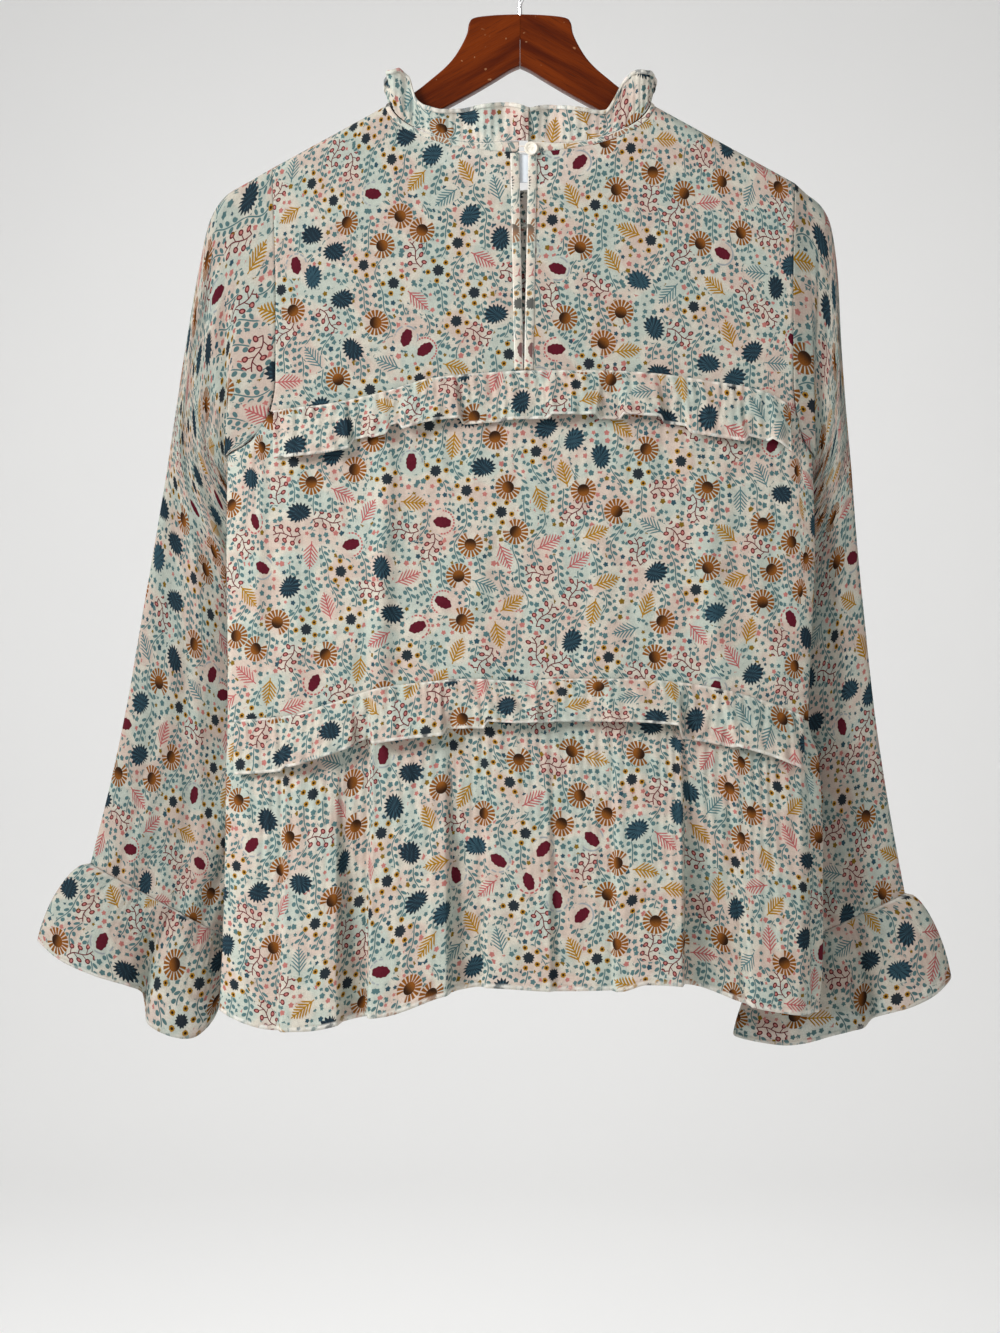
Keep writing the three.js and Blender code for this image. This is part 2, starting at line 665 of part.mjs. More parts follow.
// Lower tiers: gathered skirts that hang from the waist seam
const tierRows = 6;
function tier(name, folds, side) {
  const columns = foldColumns(folds, tierTurn, outline[0].left, outline[0].right, sideEnds);
  blouse.add(wall(name, inks.cloth, columns.length, tierRows, (i, j) => {
    const down = j / (tierRows - 1);
    const wanted = lerp(columns[i].top, columns[i].foot, down);
    const z = lerp(waistZ(wanted, side) - waistGap / 2, curve(hemLine, 'x', 'z', wanted), down);
    const left = curve(outline, 'z', 'left', z);
    const right = curve(outline, 'z', 'right', z);
    const x = lerp(left, right, (wanted - outline[0].left) / (outline[0].right - outline[0].left));
    const fade = smooth((x - left) / tierFade) * smooth((right - x) / tierFade);
    return onTorso(x, z, side, folded(folds, 'out', x, down, tierTurn) * smooth(down * 1.1) * fade);
  }, clothWall));
}
tier('back_lower_tier', backTierFolds, -1);
tier('front_lower_tier', frontTierFolds, 1);

// How far a lower tier stands out under the frill that covers its top
const underFrill = (folds, side) => (x, z) => {
  const seam = waistZ(x, side);
  const down = clamp((seam - z) / (seam - curve(hemLine, 'x', 'z', x)));
  return folded(folds, 'out', x, down, tierTurn) * smooth(down * 1.1) + 0.6 * clamp(down * 20);
};

// Frills: narrow gathered strips sewn into the yoke seam and the waist seam
function frill(name, folds, side, seamZ, left, right, under) {
  const columns = foldColumns(folds, frillTurn, left, right, [0, 3, 9]);
  blouse.add(wall(name, inks.cloth, columns.length, frillRows, (i, j) => {
    const down = j / (frillRows - 1);
    const x = lerp(columns[i].top, columns[i].foot, down);
    const z = seamZ(x) + frillHead - folded(folds, 'drop', x, down, frillTurn) * down;
    const out = frillLift + folded(folds, 'out', x, down, frillTurn) * smooth(down * 0.9 + 0.12);
    return onTorso(x, z, side, under(x, z) + out);
  }, frillWall));
}
const frillRows = 4;
frill('yoke_frill', yokeFrillFolds, -1, (x) => curve(yokeSeam, 'x', 'z', x), -186, 204, () => 0);
frill('waist_frill_back', backWaistFolds, -1, (x) => waistZ(x, -1), -216, 214, underFrill(backTierFolds, -1));
frill('waist_frill_front', frontWaistFolds, 1, (x) => waistZ(x, 1), -216, 214, underFrill(frontTierFolds, 1));

// Neck edge: the panels' own top points, round from the slit over the right shoulder and back
const neckRing = [
  ...yokePlaces(1).slice(shoulderShares.length + 1).reverse().map((place) => yokePoint(1, place, 0)),
  new THREE.Vector3(neck.halfWidth, 0, shoulderZ(neck.halfWidth)),
  ...frontPlaces.filter((place) => Math.abs(place) < neck.halfWidth - 0.01).reverse()
    .map((place) => frontPoint(place, 0)),
  new THREE.Vector3(-neck.halfWidth, 0, shoulderZ(neck.halfWidth)),
  ...yokePlaces(-1).slice(shoulderShares.length + 1).map((place) => yokePoint(-1, place, 0)),
];
const ringLengths = neckRing.map(() => 0);
for (let n = 1; n < neckRing.length; n += 1) {
  ringLengths[n] = ringLengths[n - 1] + neckRing[n].distanceTo(neckRing[n - 1]);
}
const ringTotal = ringLengths[neckRing.length - 1];

// Point, way out and heights at a distance round the neck edge, on past its end for the overlap
function neckAt(length) {
  let n = 1;
  while (n < neckRing.length - 1 && ringLengths[n] < length) {
    n += 1;
  }
  const along = neckRing[n].clone().sub(neckRing[n - 1]).normalize();
  const point = neckRing[n - 1].clone().addScaledVector(along, length - ringLengths[n - 1]);
  const before = neckRing[Math.max(0, n - 2)];
  const after = neckRing[Math.min(neckRing.length - 1, n + 1)];
  const out = new THREE.Vector3(after.y - before.y, before.x - after.x, 0).normalize();
  const angle = THREE.MathUtils.radToDeg(Math.asin(clamp(Math.abs(point.x) / neck.halfWidth)));
  const round = point.y < 0 ? angle : 180 - angle;
  const rise = Math.abs(shoulderZ(neck.halfWidth) - (point.y < 0 ? neck.backLow : neck.frontLow));
  const reach = neck.halfWidth * Math.cos(turned(angle));
  const tilt = Math.min(turned(45), Math.atan2(rise * Math.sin(turned(angle)), reach));
  const way = new THREE.Vector3(-Math.sign(point.x) * Math.sin(tilt), 0, Math.cos(tilt));
  const top = 1 - clamp(Math.abs(point.y) / shoulder.over);
  const foot = seamGap + 0.3 * Math.sin(tilt) + (clothWall / 2 + 0.3) * top;
  const band = curve(neckHeights, 'angle', 'band', round);
  const seam = seamGap + 1.3 * Math.sin(tilt);
  return { point, out, way, top, foot, band, seam, tall: curve(neckHeights, 'angle', 'collar', round) };
}

blouse.add(wall('neck_band', inks.trim, neckRing.length, 2, (i, j) => {
  const at = neckAt(ringLengths[i]);
  return at.point.addScaledVector(at.way, at.foot + (1 - j) * at.band);
}, frillWall));

const collarColumns = 85;
const collarRows = 4;
blouse.add(wall('collar', inks.cloth, collarColumns, collarRows, (i, j) => {
  const share = i / (collarColumns - 1);
  const length = share * (ringTotal + collar.overlap);
  const at = neckAt(length);
  const up = 1 - j / (collarRows - 1);
  const turn = (2 * Math.PI * length) / ringTotal;
  const wave = Math.sin(collar.waves * turn + 1.4 * Math.sin(turn * 2 + 0.7) + 0.9 * Math.sin(turn * 5));
  const lap = collar.lap * smooth((length - ringTotal + 22) / 20) * (1 - 0.25 * up);
  const ends = 1 - smooth(Math.min(share, 1 - share) * 30);
  const out = collar.flare * up * up + collar.wave * wave * up ** 0.8 * (1 - 0.5 * at.top) + lap;
  const base = at.point.addScaledVector(at.way, at.foot + at.band + at.seam);
  const rise = at.tall * up - collar.corner * ends * up;
  return base.addScaledVector(at.out, out).add(new THREE.Vector3(0, 0, rise));
}, frillWall));

// Blank label inside the right half of the back neck, seen through the slit
blouse.add(wall('label', inks.label, 3, 3, (i, j) => {
  const x = lerp(label.left, label.right, i / 2);
  return onTorso(x, neck.backLow - 1 - (label.tall * j) / 2, -1, -label.depth);
}, frillWall));

// Sleeves: tubes from the armholes, falling behind the front of the torso, each a back half and a front half
function armholeRing(end, sign) {
  const armX = armholeTop[end];
  const near = Array.from({ length: yokeRows - 1 }, (_, row) => yokePoint(sign, armX, row));
  const far = Array.from({ length: frontRows }, (_, row) => frontPoint(armX, row))
    .filter((point) => point.z > underarm + 3);
  const side = sidePlaces(sign).reverse().map((place) => middlePoint(place, 0));
  const ring = [...near, ...side, ...far.slice(1).reverse()];
  const top = ring[0].z;
  return ring.map((point, n) => {
    const before = ring[(n + ring.length - 1) % ring.length];
    const after = ring[(n + 1) % ring.length];
    const way = n === 0 ? new THREE.Vector3(sign, 0, 0)
      : new THREE.Vector3(after.z - before.z, 0, before.x - after.x).normalize();
    if (way.x * sign < 0) {
      way.negate();
    }
    const foot = smooth(((top - point.z) / (top - underarm) - 0.65) / 0.25);
    const onEdge = n === 0 || Math.abs(point.x - outline[0][end]) < 0.01;
    const across = clamp((top - point.z) / (top - underarm));
    return { across, face: point.y < 0 ? -1 : 1, onEdge, way, foot, point };
  });
}

const armholeDepth = curve(depths, 'z', 'back', -300);
function sleevePoint(row, at) {
  const lens = at.onEdge ? 0 : Math.max(0, 1 - Math.abs(2 * at.across - 1) ** row.square) ** (1 / row.square);
  const cap = (Math.abs(at.point.y) / armholeDepth) * (at.onEdge ? 0 : 1);
  const pastCrease = smooth((at.across - row.crease) / 0.12 + 0.5) * smooth((1 - at.across) / 0.15);
  const raise = at.face < 0 ? row.step * pastCrease : 0;
  const bent = at.across ** row.bend;
  return new THREE.Vector3(lerp(row.outX, row.inX, bent),
    lerp(row.outY, row.inY, bent) + at.face * row.half * lerp(lens, cap, row.cap) - raise,
    lerp(row.outZ, row.inZ, at.across));
}

const sleeves = [
  { name: 'left', sign: -1, rows: sleeveLeft, hem: flounceLeft },
  { name: 'right', sign: 1, rows: sleeveRight, hem: flounceRight },
];
for (const sleeve of sleeves) {
  sleeve.ring = armholeRing(sleeve.name, sleeve.sign);
  const underarmAt = sleeve.ring.findIndex((at, n) => n > 0 && at.onEdge);
  const halves = [
    { side: 'back', way: -1, ring: sleeve.ring.slice(0, underarmAt + 1) },
    { side: 'front', way: 1, ring: [...sleeve.ring.slice(underarmAt), sleeve.ring[0]] },
  ];
  for (const half of halves) {
    const name = `sleeve_${sleeve.name}_${half.side}`;
    blouse.add(wall(name, inks.cloth, half.ring.length, sleeve.rows.length + 1, (i, j) => {
      const at = half.ring[i];
      const made = j > 0 ? sleevePoint(sleeve.rows[j - 1], at) : at.point.clone();
      if (j === 0) {
        made.y = at.onEdge ? 0 : made.y;
        made.addScaledVector(at.way, armholeGap + 1.2 * at.foot);
      }
      made.y += at.onEdge ? (half.way * foldGap) / 2 : 0;
      return made;
    }, clothWall, 'folded'));
  }
}

// Flounces: each hangs from its sleeve's end and spreads to the bottom edge given in its table
const flounceAround = 47;
const flounceRows = 5;
const smoothLoop = (points) => new THREE.CatmullRomCurve3(
  points.map((p) => new THREE.Vector3(p.x, p.y, p.z)), true, 'centripetal');
for (const sleeve of sleeves) {
  const lastRow = sleeve.rows[sleeve.rows.length - 1];
  const seam = smoothLoop(sleeve.ring.map((at) => sleevePoint(lastRow, at)));
  const hem = smoothLoop(sleeve.hem);
  blouse.add(wall('flounce_' + sleeve.name, inks.cloth, flounceAround, flounceRows, (i, j) => {
    const down = j / (flounceRows - 1);
    const from = seam.getPointAt(i / flounceAround);
    const to = hem.getPointAt(i / flounceAround);
    const spread = (smooth(down) + 2 * down) / 3;
    from.x += lastRow.outX * 0.0012 * (seamGap + 0.3);
    from.z -= seamGap + 0.3;
    return new THREE.Vector3(lerp(from.x, to.x, spread ** 0.8), lerp(from.y, to.y, spread ** 0.85),
      lerp(from.z, to.z, down));
  }, frillWall, 'loop'));
}

// Button on the right end of the neck band, standing on its shank, with a loop from the left end round it
const bandFace = -torsoDepth(button.x, button.z, -1) - frillWall / 2;
const loopY = bandFace - seamGap - loop.wire;
const buttonLift = 2 * loop.wire + 2.5 * seamGap;
const buttonProfile = [
  { out: 0, up: 0 }, { out: button.shank, up: 0 }, { out: button.shank, up: buttonLift },
  { out: button.radius * 0.8, up: buttonLift }, { out: button.radius, up: buttonLift + 0.6 },
  { out: button.radius, up: buttonLift + button.thick - 0.5 },
  { out: button.radius * 0.9, up: buttonLift + button.thick },
  { out: button.radius * 0.68, up: buttonLift + button.thick - 0.2 },
  { out: button.radius * 0.6, up: buttonLift + button.thick - 0.7 },
  { out: 0, up: buttonLift + button.thick - 0.7 },
];
const buttonOutline = buttonProfile.map((row) => new THREE.Vector2(row.out, row.up));
let buttonSolid = toSolid(new THREE.LatheGeometry(buttonOutline, 18));
for (const aside of [-1, 1]) {
  const hole = new THREE.CylinderGeometry(button.hole, button.hole, button.thick, 8);
  hole.translate((aside * button.holeApart) / 2, buttonLift + button.thick, 0);
  buttonSolid = buttonSolid.subtract(toSolid(hole));
}
const buttonMesh = mesh('button', fromSolid(buttonSolid), inks.button, 0, 0.3);
buttonMesh.rotation.z = Math.PI;
buttonMesh.position.set(button.x, bandFace - seamGap, button.z);
blouse.add(buttonMesh);

// A closed tube along a line of points
function tube(name, points, radius, sides, steps, colour, metalness, roughness) {
  const ring = new THREE.Shape(Array.from({ length: sides }, (_, n) => new THREE.Vector2(
    radius * Math.cos((2 * Math.PI * n) / sides), radius * Math.sin((2 * Math.PI * n) / sides))));
  const path = new THREE.CatmullRomCurve3(points, false, 'centripetal');
  const geometry = new THREE.ExtrudeGeometry(ring, { steps, extrudePath: path, bevelEnabled: false });
  return mesh(name, fromSolid(toSolid(geometry)), colour, metalness, roughness);
}
const loopPoint = (x, z) => new THREE.Vector3(x, loopY, button.z + z);
const loopTurns = Array.from({ length: 9 }, (_, n) => turned(90 - 22.5 * n));
blouse.add(tube('button_loop', [
  loopPoint(loop.start, loop.radius),
  ...loopTurns.map((angle) =>
    loopPoint(button.x + loop.radius * Math.cos(angle), loop.radius * Math.sin(angle))),
  loopPoint(loop.start, -loop.radius),
], loop.wire, 6, 20, inks.trim, 0, 0.8));

// Hanger: two wooden arms joined at the crown, and a wire hook
const woodTop = (x) => shoulderZ(x) - clothWall / 2 - hanger.seat;
const armTop = [
  [0, hanger.crownTop], [34, hanger.crownTop - 2.5], [38.5, hanger.crownTop - 6.5], [40, -76],
  [43.5, -84], [49.5, -94], [57, -102.5], [67, -111], [79, woodTop(79) - 0.9], [93, woodTop(93)],
  [199, woodTop(199)], [204, woodTop(204) - 3], [206, woodTop(206) - 8],
];
const armFoot = [[200, -202.5], [160, -184.5], [100, -155.5], [45, -126.4], [0, -101]];
const bore = new THREE.CylinderGeometry(hanger.bore, hanger.bore, 2 * hanger.shankIn, 12);
bore.rotateX(Math.PI / 2);
bore.translate(0, 0, hanger.crownTop);
for (const [name, sign] of [['hanger_arm_left', -1], ['hanger_arm_right', 1]]) {
  const face = new THREE.Shape([...armTop, ...armFoot].map(([x, z]) => new THREE.Vector2(
    sign * Math.max(x, hanger.joint), z)));
  const depth = hanger.thick - 2 * hanger.round;
  const geometry = new THREE.ExtrudeGeometry(face, {
    depth, bevelEnabled: true,
    bevelThickness: hanger.round, bevelSize: hanger.round, bevelOffset: -hanger.round,
    bevelSegments: 3,
  });
  geometry.rotateX(Math.PI / 2);
  geometry.translate(0, depth / 2, 0);
  blouse.add(mesh(name, fromSolid(toSolid(geometry).subtract(toSolid(bore))), inks.wood, 0, 0.35));
}

const hookCentre = hanger.wire - hanger.hookRadius;
const hookTurns = [-42, -20, 0, 22, 45, 68, 90, 112, 135, 158, 180, 200].map(turned);
blouse.add(tube('hook', [
  ...[2 - hanger.shankIn, 8 - hanger.shankIn, -4, 4, 9]
    .map((z) => new THREE.Vector3(0, 0, hanger.crownTop + z)),
  new THREE.Vector3(5, 0, hanger.crownTop + 18),
  ...hookTurns.map((angle) => new THREE.Vector3(
    hanger.hookRadius * Math.cos(angle), 0, hookCentre + hanger.hookRadius * Math.sin(angle))),
], hanger.wire, 8, 40, inks.metal, 0.9, 0.3));

export default blouse;
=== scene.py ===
import bpy
import bmesh
import math
from bisect import bisect_right
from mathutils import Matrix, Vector, noise


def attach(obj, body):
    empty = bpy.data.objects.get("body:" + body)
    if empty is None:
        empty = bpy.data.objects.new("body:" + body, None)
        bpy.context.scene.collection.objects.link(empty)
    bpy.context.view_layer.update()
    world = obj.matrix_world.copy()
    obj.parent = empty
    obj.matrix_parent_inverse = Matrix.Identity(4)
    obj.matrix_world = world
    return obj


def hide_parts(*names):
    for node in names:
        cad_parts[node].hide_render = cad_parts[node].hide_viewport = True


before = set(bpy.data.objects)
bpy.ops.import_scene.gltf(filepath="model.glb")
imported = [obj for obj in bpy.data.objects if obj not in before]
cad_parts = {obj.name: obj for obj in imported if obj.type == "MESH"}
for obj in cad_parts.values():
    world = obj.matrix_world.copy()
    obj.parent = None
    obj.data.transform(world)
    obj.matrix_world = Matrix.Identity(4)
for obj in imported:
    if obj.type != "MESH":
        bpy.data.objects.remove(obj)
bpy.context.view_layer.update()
scene = bpy.context.scene
scene.view_settings.view_transform = "Standard"
mm = 0.001


def clamp(value):
    return min(1.0, max(0.0, value))


def lerp(a, b, share):
    return a + (b - a) * share


def smooth(value):
    t = clamp(value)
    return t * t * (3 - 2 * t)


# a smooth line through two columns of a table, which never overshoots its rows
def curve(table, key, column):
    keys, values = table[key], table[column]
    if keys[0] > keys[-1]:
        keys, values = keys[::-1], values[::-1]
    slopes = [(values[n + 1] - values[n]) / (keys[n + 1] - keys[n]) for n in range(len(keys) - 1)]
    inner = [2 * a * b / (a + b) if a * b > 0 else 0.0 for a, b in zip(slopes, slopes[1:])]
    tangents = [slopes[0], *inner, slopes[-1]]

    def at(place):
        n = min(len(slopes) - 1, max(0, bisect_right(keys, place) - 1))
        span = keys[n + 1] - keys[n]
        t = clamp((place - keys[n]) / span)
        t2, t3 = t * t, t * t * t
        ends = values[n] * (2 * t3 - 3 * t2 + 1) + values[n + 1] * (3 * t2 - 2 * t3)
        return ends + span * (tangents[n] * (t3 - 2 * t2 + t) + tangents[n + 1] * (t3 - t2))

    return at


# level of a table of folds at a place: nearly flat over each fold, turned over quickly at its edges
def folded(folds, column, x, down, turn):
    level = folds[0][column]
    for before, fold in zip(folds, folds[1:]):
        edge = lerp(fold[0], fold[1], down)
        level += (fold[column] - before[column]) * smooth((x - edge) / turn + 0.5)
    return level


# a smooth curve from b to c, led by the points before and after them
def passing(a, b, c, d, t):
    bend = 2 * a - 5 * b + 4 * c - d
    twist = 3 * b - a - 3 * c + d
    return 0.5 * (2 * b + (c - a) * t + bend * t * t + twist * t ** 3)


def lengthsAlong(points):
    lengths = [0.0]
    for before, after in zip(points, points[1:]):
        lengths.append(lengths[-1] + (after - before).length)
    return lengths


def pointAlong(points, lengths, length):
    n = min(len(points) - 1, max(1, bisect_right(lengths, length)))
    return points[n - 1].lerp(points[n], (length - lengths[n - 1]) / max(1e-9, lengths[n] - lengths[n - 1]))


# 0 at both ends of a share, and 1 from a short way in
def inset(share, slope):
    return clamp(slope * share) * clamp(slope * (1 - share))


def linkedPiece(name, mesh):
    data = bpy.data.meshes.new(name)
    mesh.to_mesh(data)
    mesh.free()
    piece = bpy.data.objects.new(name, data)
    scene.collection.objects.link(piece)
    return piece


# the camera, square to the middle of the buttoned back, 1.7 m away
camera = {"place": (-0.0152, -1.7, -0.5564), "lens": 60.4, "sensor": 36}
cameraData = bpy.data.cameras.new("camera")
cameraData.lens = camera["lens"]
cameraData.sensor_width = camera["sensor"]
cameraData.clip_start, cameraData.clip_end = 0.05, 30
cameraPiece = bpy.data.objects.new("camera", cameraData)
cameraPiece.location = camera["place"]
cameraPiece.rotation_euler = (math.radians(90), 0, 0)
scene.collection.objects.link(cameraPiece)
scene.camera = cameraPiece

# the torso, in millimetres: seams and edges seen from the buttoned back, and how deep it is
torso = {
    "peak": -75, "slope": 0.55, "over": 9.5,
    "neckHalf": 102, "neckBack": -168, "neckFront": -223, "neckSpread": 116,
    "slitX": 2.7, "slitTop": 7, "slitBottom": 0.8, "slitFoot": -336, "slitTaper": 165,
    "underarm": -397, "lensPower": 3.2, "lensExtra": 75, "lensReach": 110,
    "waistMiddle": -568, "waistSide": -598, "gap": 0.1, "sideGap": 0.3,
}
depths = {
    "z": [-130, -200, -350, -560, -700, -830],
    "back": [11.5, 12.5, 15, 16, 18, 20],
    "front": [11.5, 12.5, 13, 13.5, 15, 16],
}
outline = {
    "z": [-397, -466, -562, -598, -628, -700, -770, -830],
    "left": [-222, -223, -222, -222, -223, -224, -226, -229],
    "right": [222, 224, 220, 219, 227, 230, 230, 226],
}
armholes = {
    "z": [-150, -178, -215, -275, -340, -366, -386, -397],
    "left": [-187, -187, -186, -184.5, -184.5, -189, -203, -222],
    "right": [208, 208, 207, 206, 206, 208, 214, 222],
}
yokeSeam = {
    "x": [-222, -203, -189, -144, -99, -68, -30, 15, 61, 99, 137, 182, 208, 214, 222],
    "z": [-397, -386, -366, -360, -350, -341, -337, -335, -335, -337, -342, -350, -366, -386, -397],
}
waistSeam = {
    "x": [-224, -175, -144, -106, -76, -38, 0, 30, 76, 122, 152, 182, 224],
    "z": [-599, -595, -586, -574, -570, -567, -569, -567, -567, -570, -575, -583, -599],
}
hemLine = {
    "x": [-230, -212, -179, -152, -114, -95, -57, -30, 30, 72, 91, 122, 171, 222, 230],
    "z": [-812, -821, -829, -828, -819, -816, -802, -796, -799, -798, -793, -795, -811, -818, -811],
}
# long soft folds in the middle tier: top x, foot x, head, foot, height and width
middleFolds = [
    (-99, -107, -365, -590, 5, 16),
    (139, 151, -410, -590, 3.5, 18),
    (-196, -200, -400, -590, 2.5, 12),
    (60, 66, -440, -600, 2, 26),
    (-30, -36, -420, -600, 2, 24),
]

depthAt = {-1: curve(depths, "z", "back"), 1: curve(depths, "z", "front")}
outlineAt = {-1: curve(outline, "z", "left"), 1: curve(outline, "z", "right")}
armholeAt = {-1: curve(armholes, "z", "left"), 1: curve(armholes, "z", "right")}
yokeSeamAt = curve(yokeSeam, "x", "z")
waistSeamAt = curve(waistSeam, "x", "z")
hemAt = curve(hemLine, "x", "z")
armX = {-1: armholes["left"][0], 1: armholes["right"][0]}
bodyLeft, bodyRight = outline["left"][0], outline["right"][0]


def shoulderZ(x):
    return torso["peak"] - torso["slope"] * abs(x)


def neckZ(x, side):
    low = torso["neckBack"] if side < 0 else torso["neckFront"]
    share = min(1.0, abs(x) / torso["neckHalf"])
    return lerp(low, shoulderZ(torso["neckHalf"]), 1 - math.sqrt(1 - share * share))


def neckX(turn):
    return torso["neckHalf"] * math.sin(math.radians(turn))


def topZ(x, side):
    return neckZ(x, side) if abs(x) < torso["neckHalf"] - 1e-6 else shoulderZ(x)


def edgeX(z, end):
    return armholeAt[end](z) if z > torso["underarm"] else outlineAt[end](z)


def slitEdge(z, end):
    opened = lerp(torso["slitBottom"], torso["slitTop"], clamp((z - torso["slitFoot"]) / torso["slitTaper"]))
    return torso["slitX"] + end * opened / 2


def waistZ(x, side):
    if side < 0:
        return waistSeamAt(x)
    return lerp(torso["waistMiddle"], torso["waistSide"], (abs(x) / -bodyLeft) ** 2)


def torsoDepth(x, z, side):
    rise = torso["lensExtra"] * smooth((z - torso["underarm"]) / torso["lensReach"])
    half = abs(outlineAt[-1 if x < 0 else 1](min(z, torso["underarm"]))) + rise
    power = torso["lensPower"]
    lens = max(0.0, 1 - min(1.0, abs(x) / half) ** power) ** (1 / power)
    below = clamp((shoulderZ(x) - z) / torso["over"])
    ridge = math.sqrt(max(0.0, 1 - (1 - below) ** 2))
    depth = depthAt[side](z) * lens * ridge
    if side < 0:
        for topX, footX, head, foot, out, wide in middleFolds:
            down = clamp((z - head) / (foot - head))
            away = (x - lerp(topX, footX, down)) / wide
            depth += out * math.sin(math.pi * down) ** 0.8 * lens * math.exp(-4 * away * away)
    return max(torso["sideGap"], depth)


def onTorso(x, z, side, out=0.0):
    return Vector((x, side * (torsoDepth(x, z, side) + out), z))


# soft uneven ripples, a few tenths of a millimetre to a millimetre high
def rumple(x, z, size, seed):
    return noise.noise(Vector((x / size, z / (2.2 * size), seed)))


# fine gathers that run down from a seam and fade
def gathers(x, down, pitch, seed):
    wander = 1.3 * noise.noise(Vector((x / 23, seed, down * 0.8)))
    strength = 0.65 + 0.35 * noise.noise(Vector((x / 9, seed, 3)))
    return math.sin(2 * math.pi * x / pitch + 5 * wander) * strength


# a sheet of cloth from a grid: place(u, v) gives each point in millimetres, with v running down.
# "edge" marks double cloth: a hem, a head where the piece is sewn on, and columns at both sides
def clothPiece(name, size, place, hem=0.0, head=0.0, sides=0, closed=False, upright=False, wall=0.5):
    columns, rows = size
    hemRows = 3 if hem else 0
    mesh = bmesh.new()
    bmesh.ops.create_grid(mesh, x_segments=columns, y_segments=rows + hemRows, size=1)
    left = min(v.co.x for v in mesh.verts)
    top = max(v.co.y for v in mesh.verts)
    wide = max(v.co.x for v in mesh.verts) - left
    tall = top - min(v.co.y for v in mesh.verts)
    grid = [[place(i / columns, j / rows) for i in range(columns + 1)] for j in range(rows + 1)]
    lengths = [lengthsAlong(row) for row in grid]
    falls = [0.0]
    for j in range(rows):
        steps = [(grid[j + 1][i] - grid[j][i]).length for i in range(0, columns + 1, 5)]
        falls.append(falls[-1] + sum(steps) / len(steps))
    if upright:  # the print hangs as the panel does, measured out from its middle line
        for j, row in enumerate(grid):
            middle = min(range(columns + 1), key=lambda i: abs(row[i].x))
            start = lengths[j][middle] - row[middle].x * (1 if row[-1].x > row[0].x else -1)
            lengths[j] = [length - start for length in lengths[j]]
        flat = [[(lengths[j][i], grid[j][i].z) for i in range(columns + 1)] for j in range(rows + 1)]
    else:  # columns are straight in the cloth before it is gathered
        mean = [sum(row[i] for row in lengths) / (rows + 1) for i in range(columns + 1)]
        flat = [[(mean[i] - mean[-1] / 2, -falls[j]) for i in range(columns + 1)] for j in range(rows + 1)]
    for turn in range(hemRows):  # the hem is turned up inside the edge
        rise = hem * (0.0, 0.55, 1.0)[turn]
        lift = (0.35, 0.75, 0.75)[turn]
        row = []
        for i in range(columns + 1):
            before, after = grid[rows][max(0, i - 1)], grid[rows][min(columns, i + 1)]
            up = (grid[rows - 2][i] - grid[rows][i]).normalized()
            inward = up.cross(after - before).normalized()
            row.append(grid[rows][i] + up * rise + inward * lift)
        grid.append(row)
        flat.append([(x, y + rise) for x, y in flat[rows]])
    doubled = [clamp(1.4 * (1 - (falls[-1] - fall) / hem)) if hem else 0.0 for fall in falls]
    if head:
        doubled = [max(edge, clamp(1.4 * (1 - fall / head))) for edge, fall in zip(doubled, falls)]
    doubled += [1.0] * hemRows
    edgeLayer = mesh.verts.layers.float.new("edge")
    cell = {}
    for v in mesh.verts:
        i = round((v.co.x - left) / wide * columns)
        j = round((top - v.co.y) / tall * (rows + hemRows))
        cell[v] = (i, j)
    uvLayer = mesh.loops.layers.uv.new("cloth")
    for face in mesh.faces:
        face.smooth = True
        for loop in face.loops:
            i, j = cell[loop.vert]
            x, y = flat[j][i]
            loop[uvLayer].uv = (x * mm, y * mm)
    for v, (i, j) in cell.items():
        v.co = grid[j][i] * mm
        v[edgeLayer] = 1.0 if min(i, columns - i) < sides else doubled[j]
    if closed:
        bmesh.ops.remove_doubles(mesh, verts=mesh.verts, dist=1e-6)
    piece = linkedPiece(name, mesh)
    solid = piece.modifiers.new("wall", "SOLIDIFY")
    solid.thickness = wall * mm
    solid.offset = 0
    solid.use_even_offset = False
    return piece


def finishCloth(piece, nodes, material):
    piece.data.materials.append(material)
    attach(piece, "root")
    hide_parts(*nodes)
    print("made", piece.name)


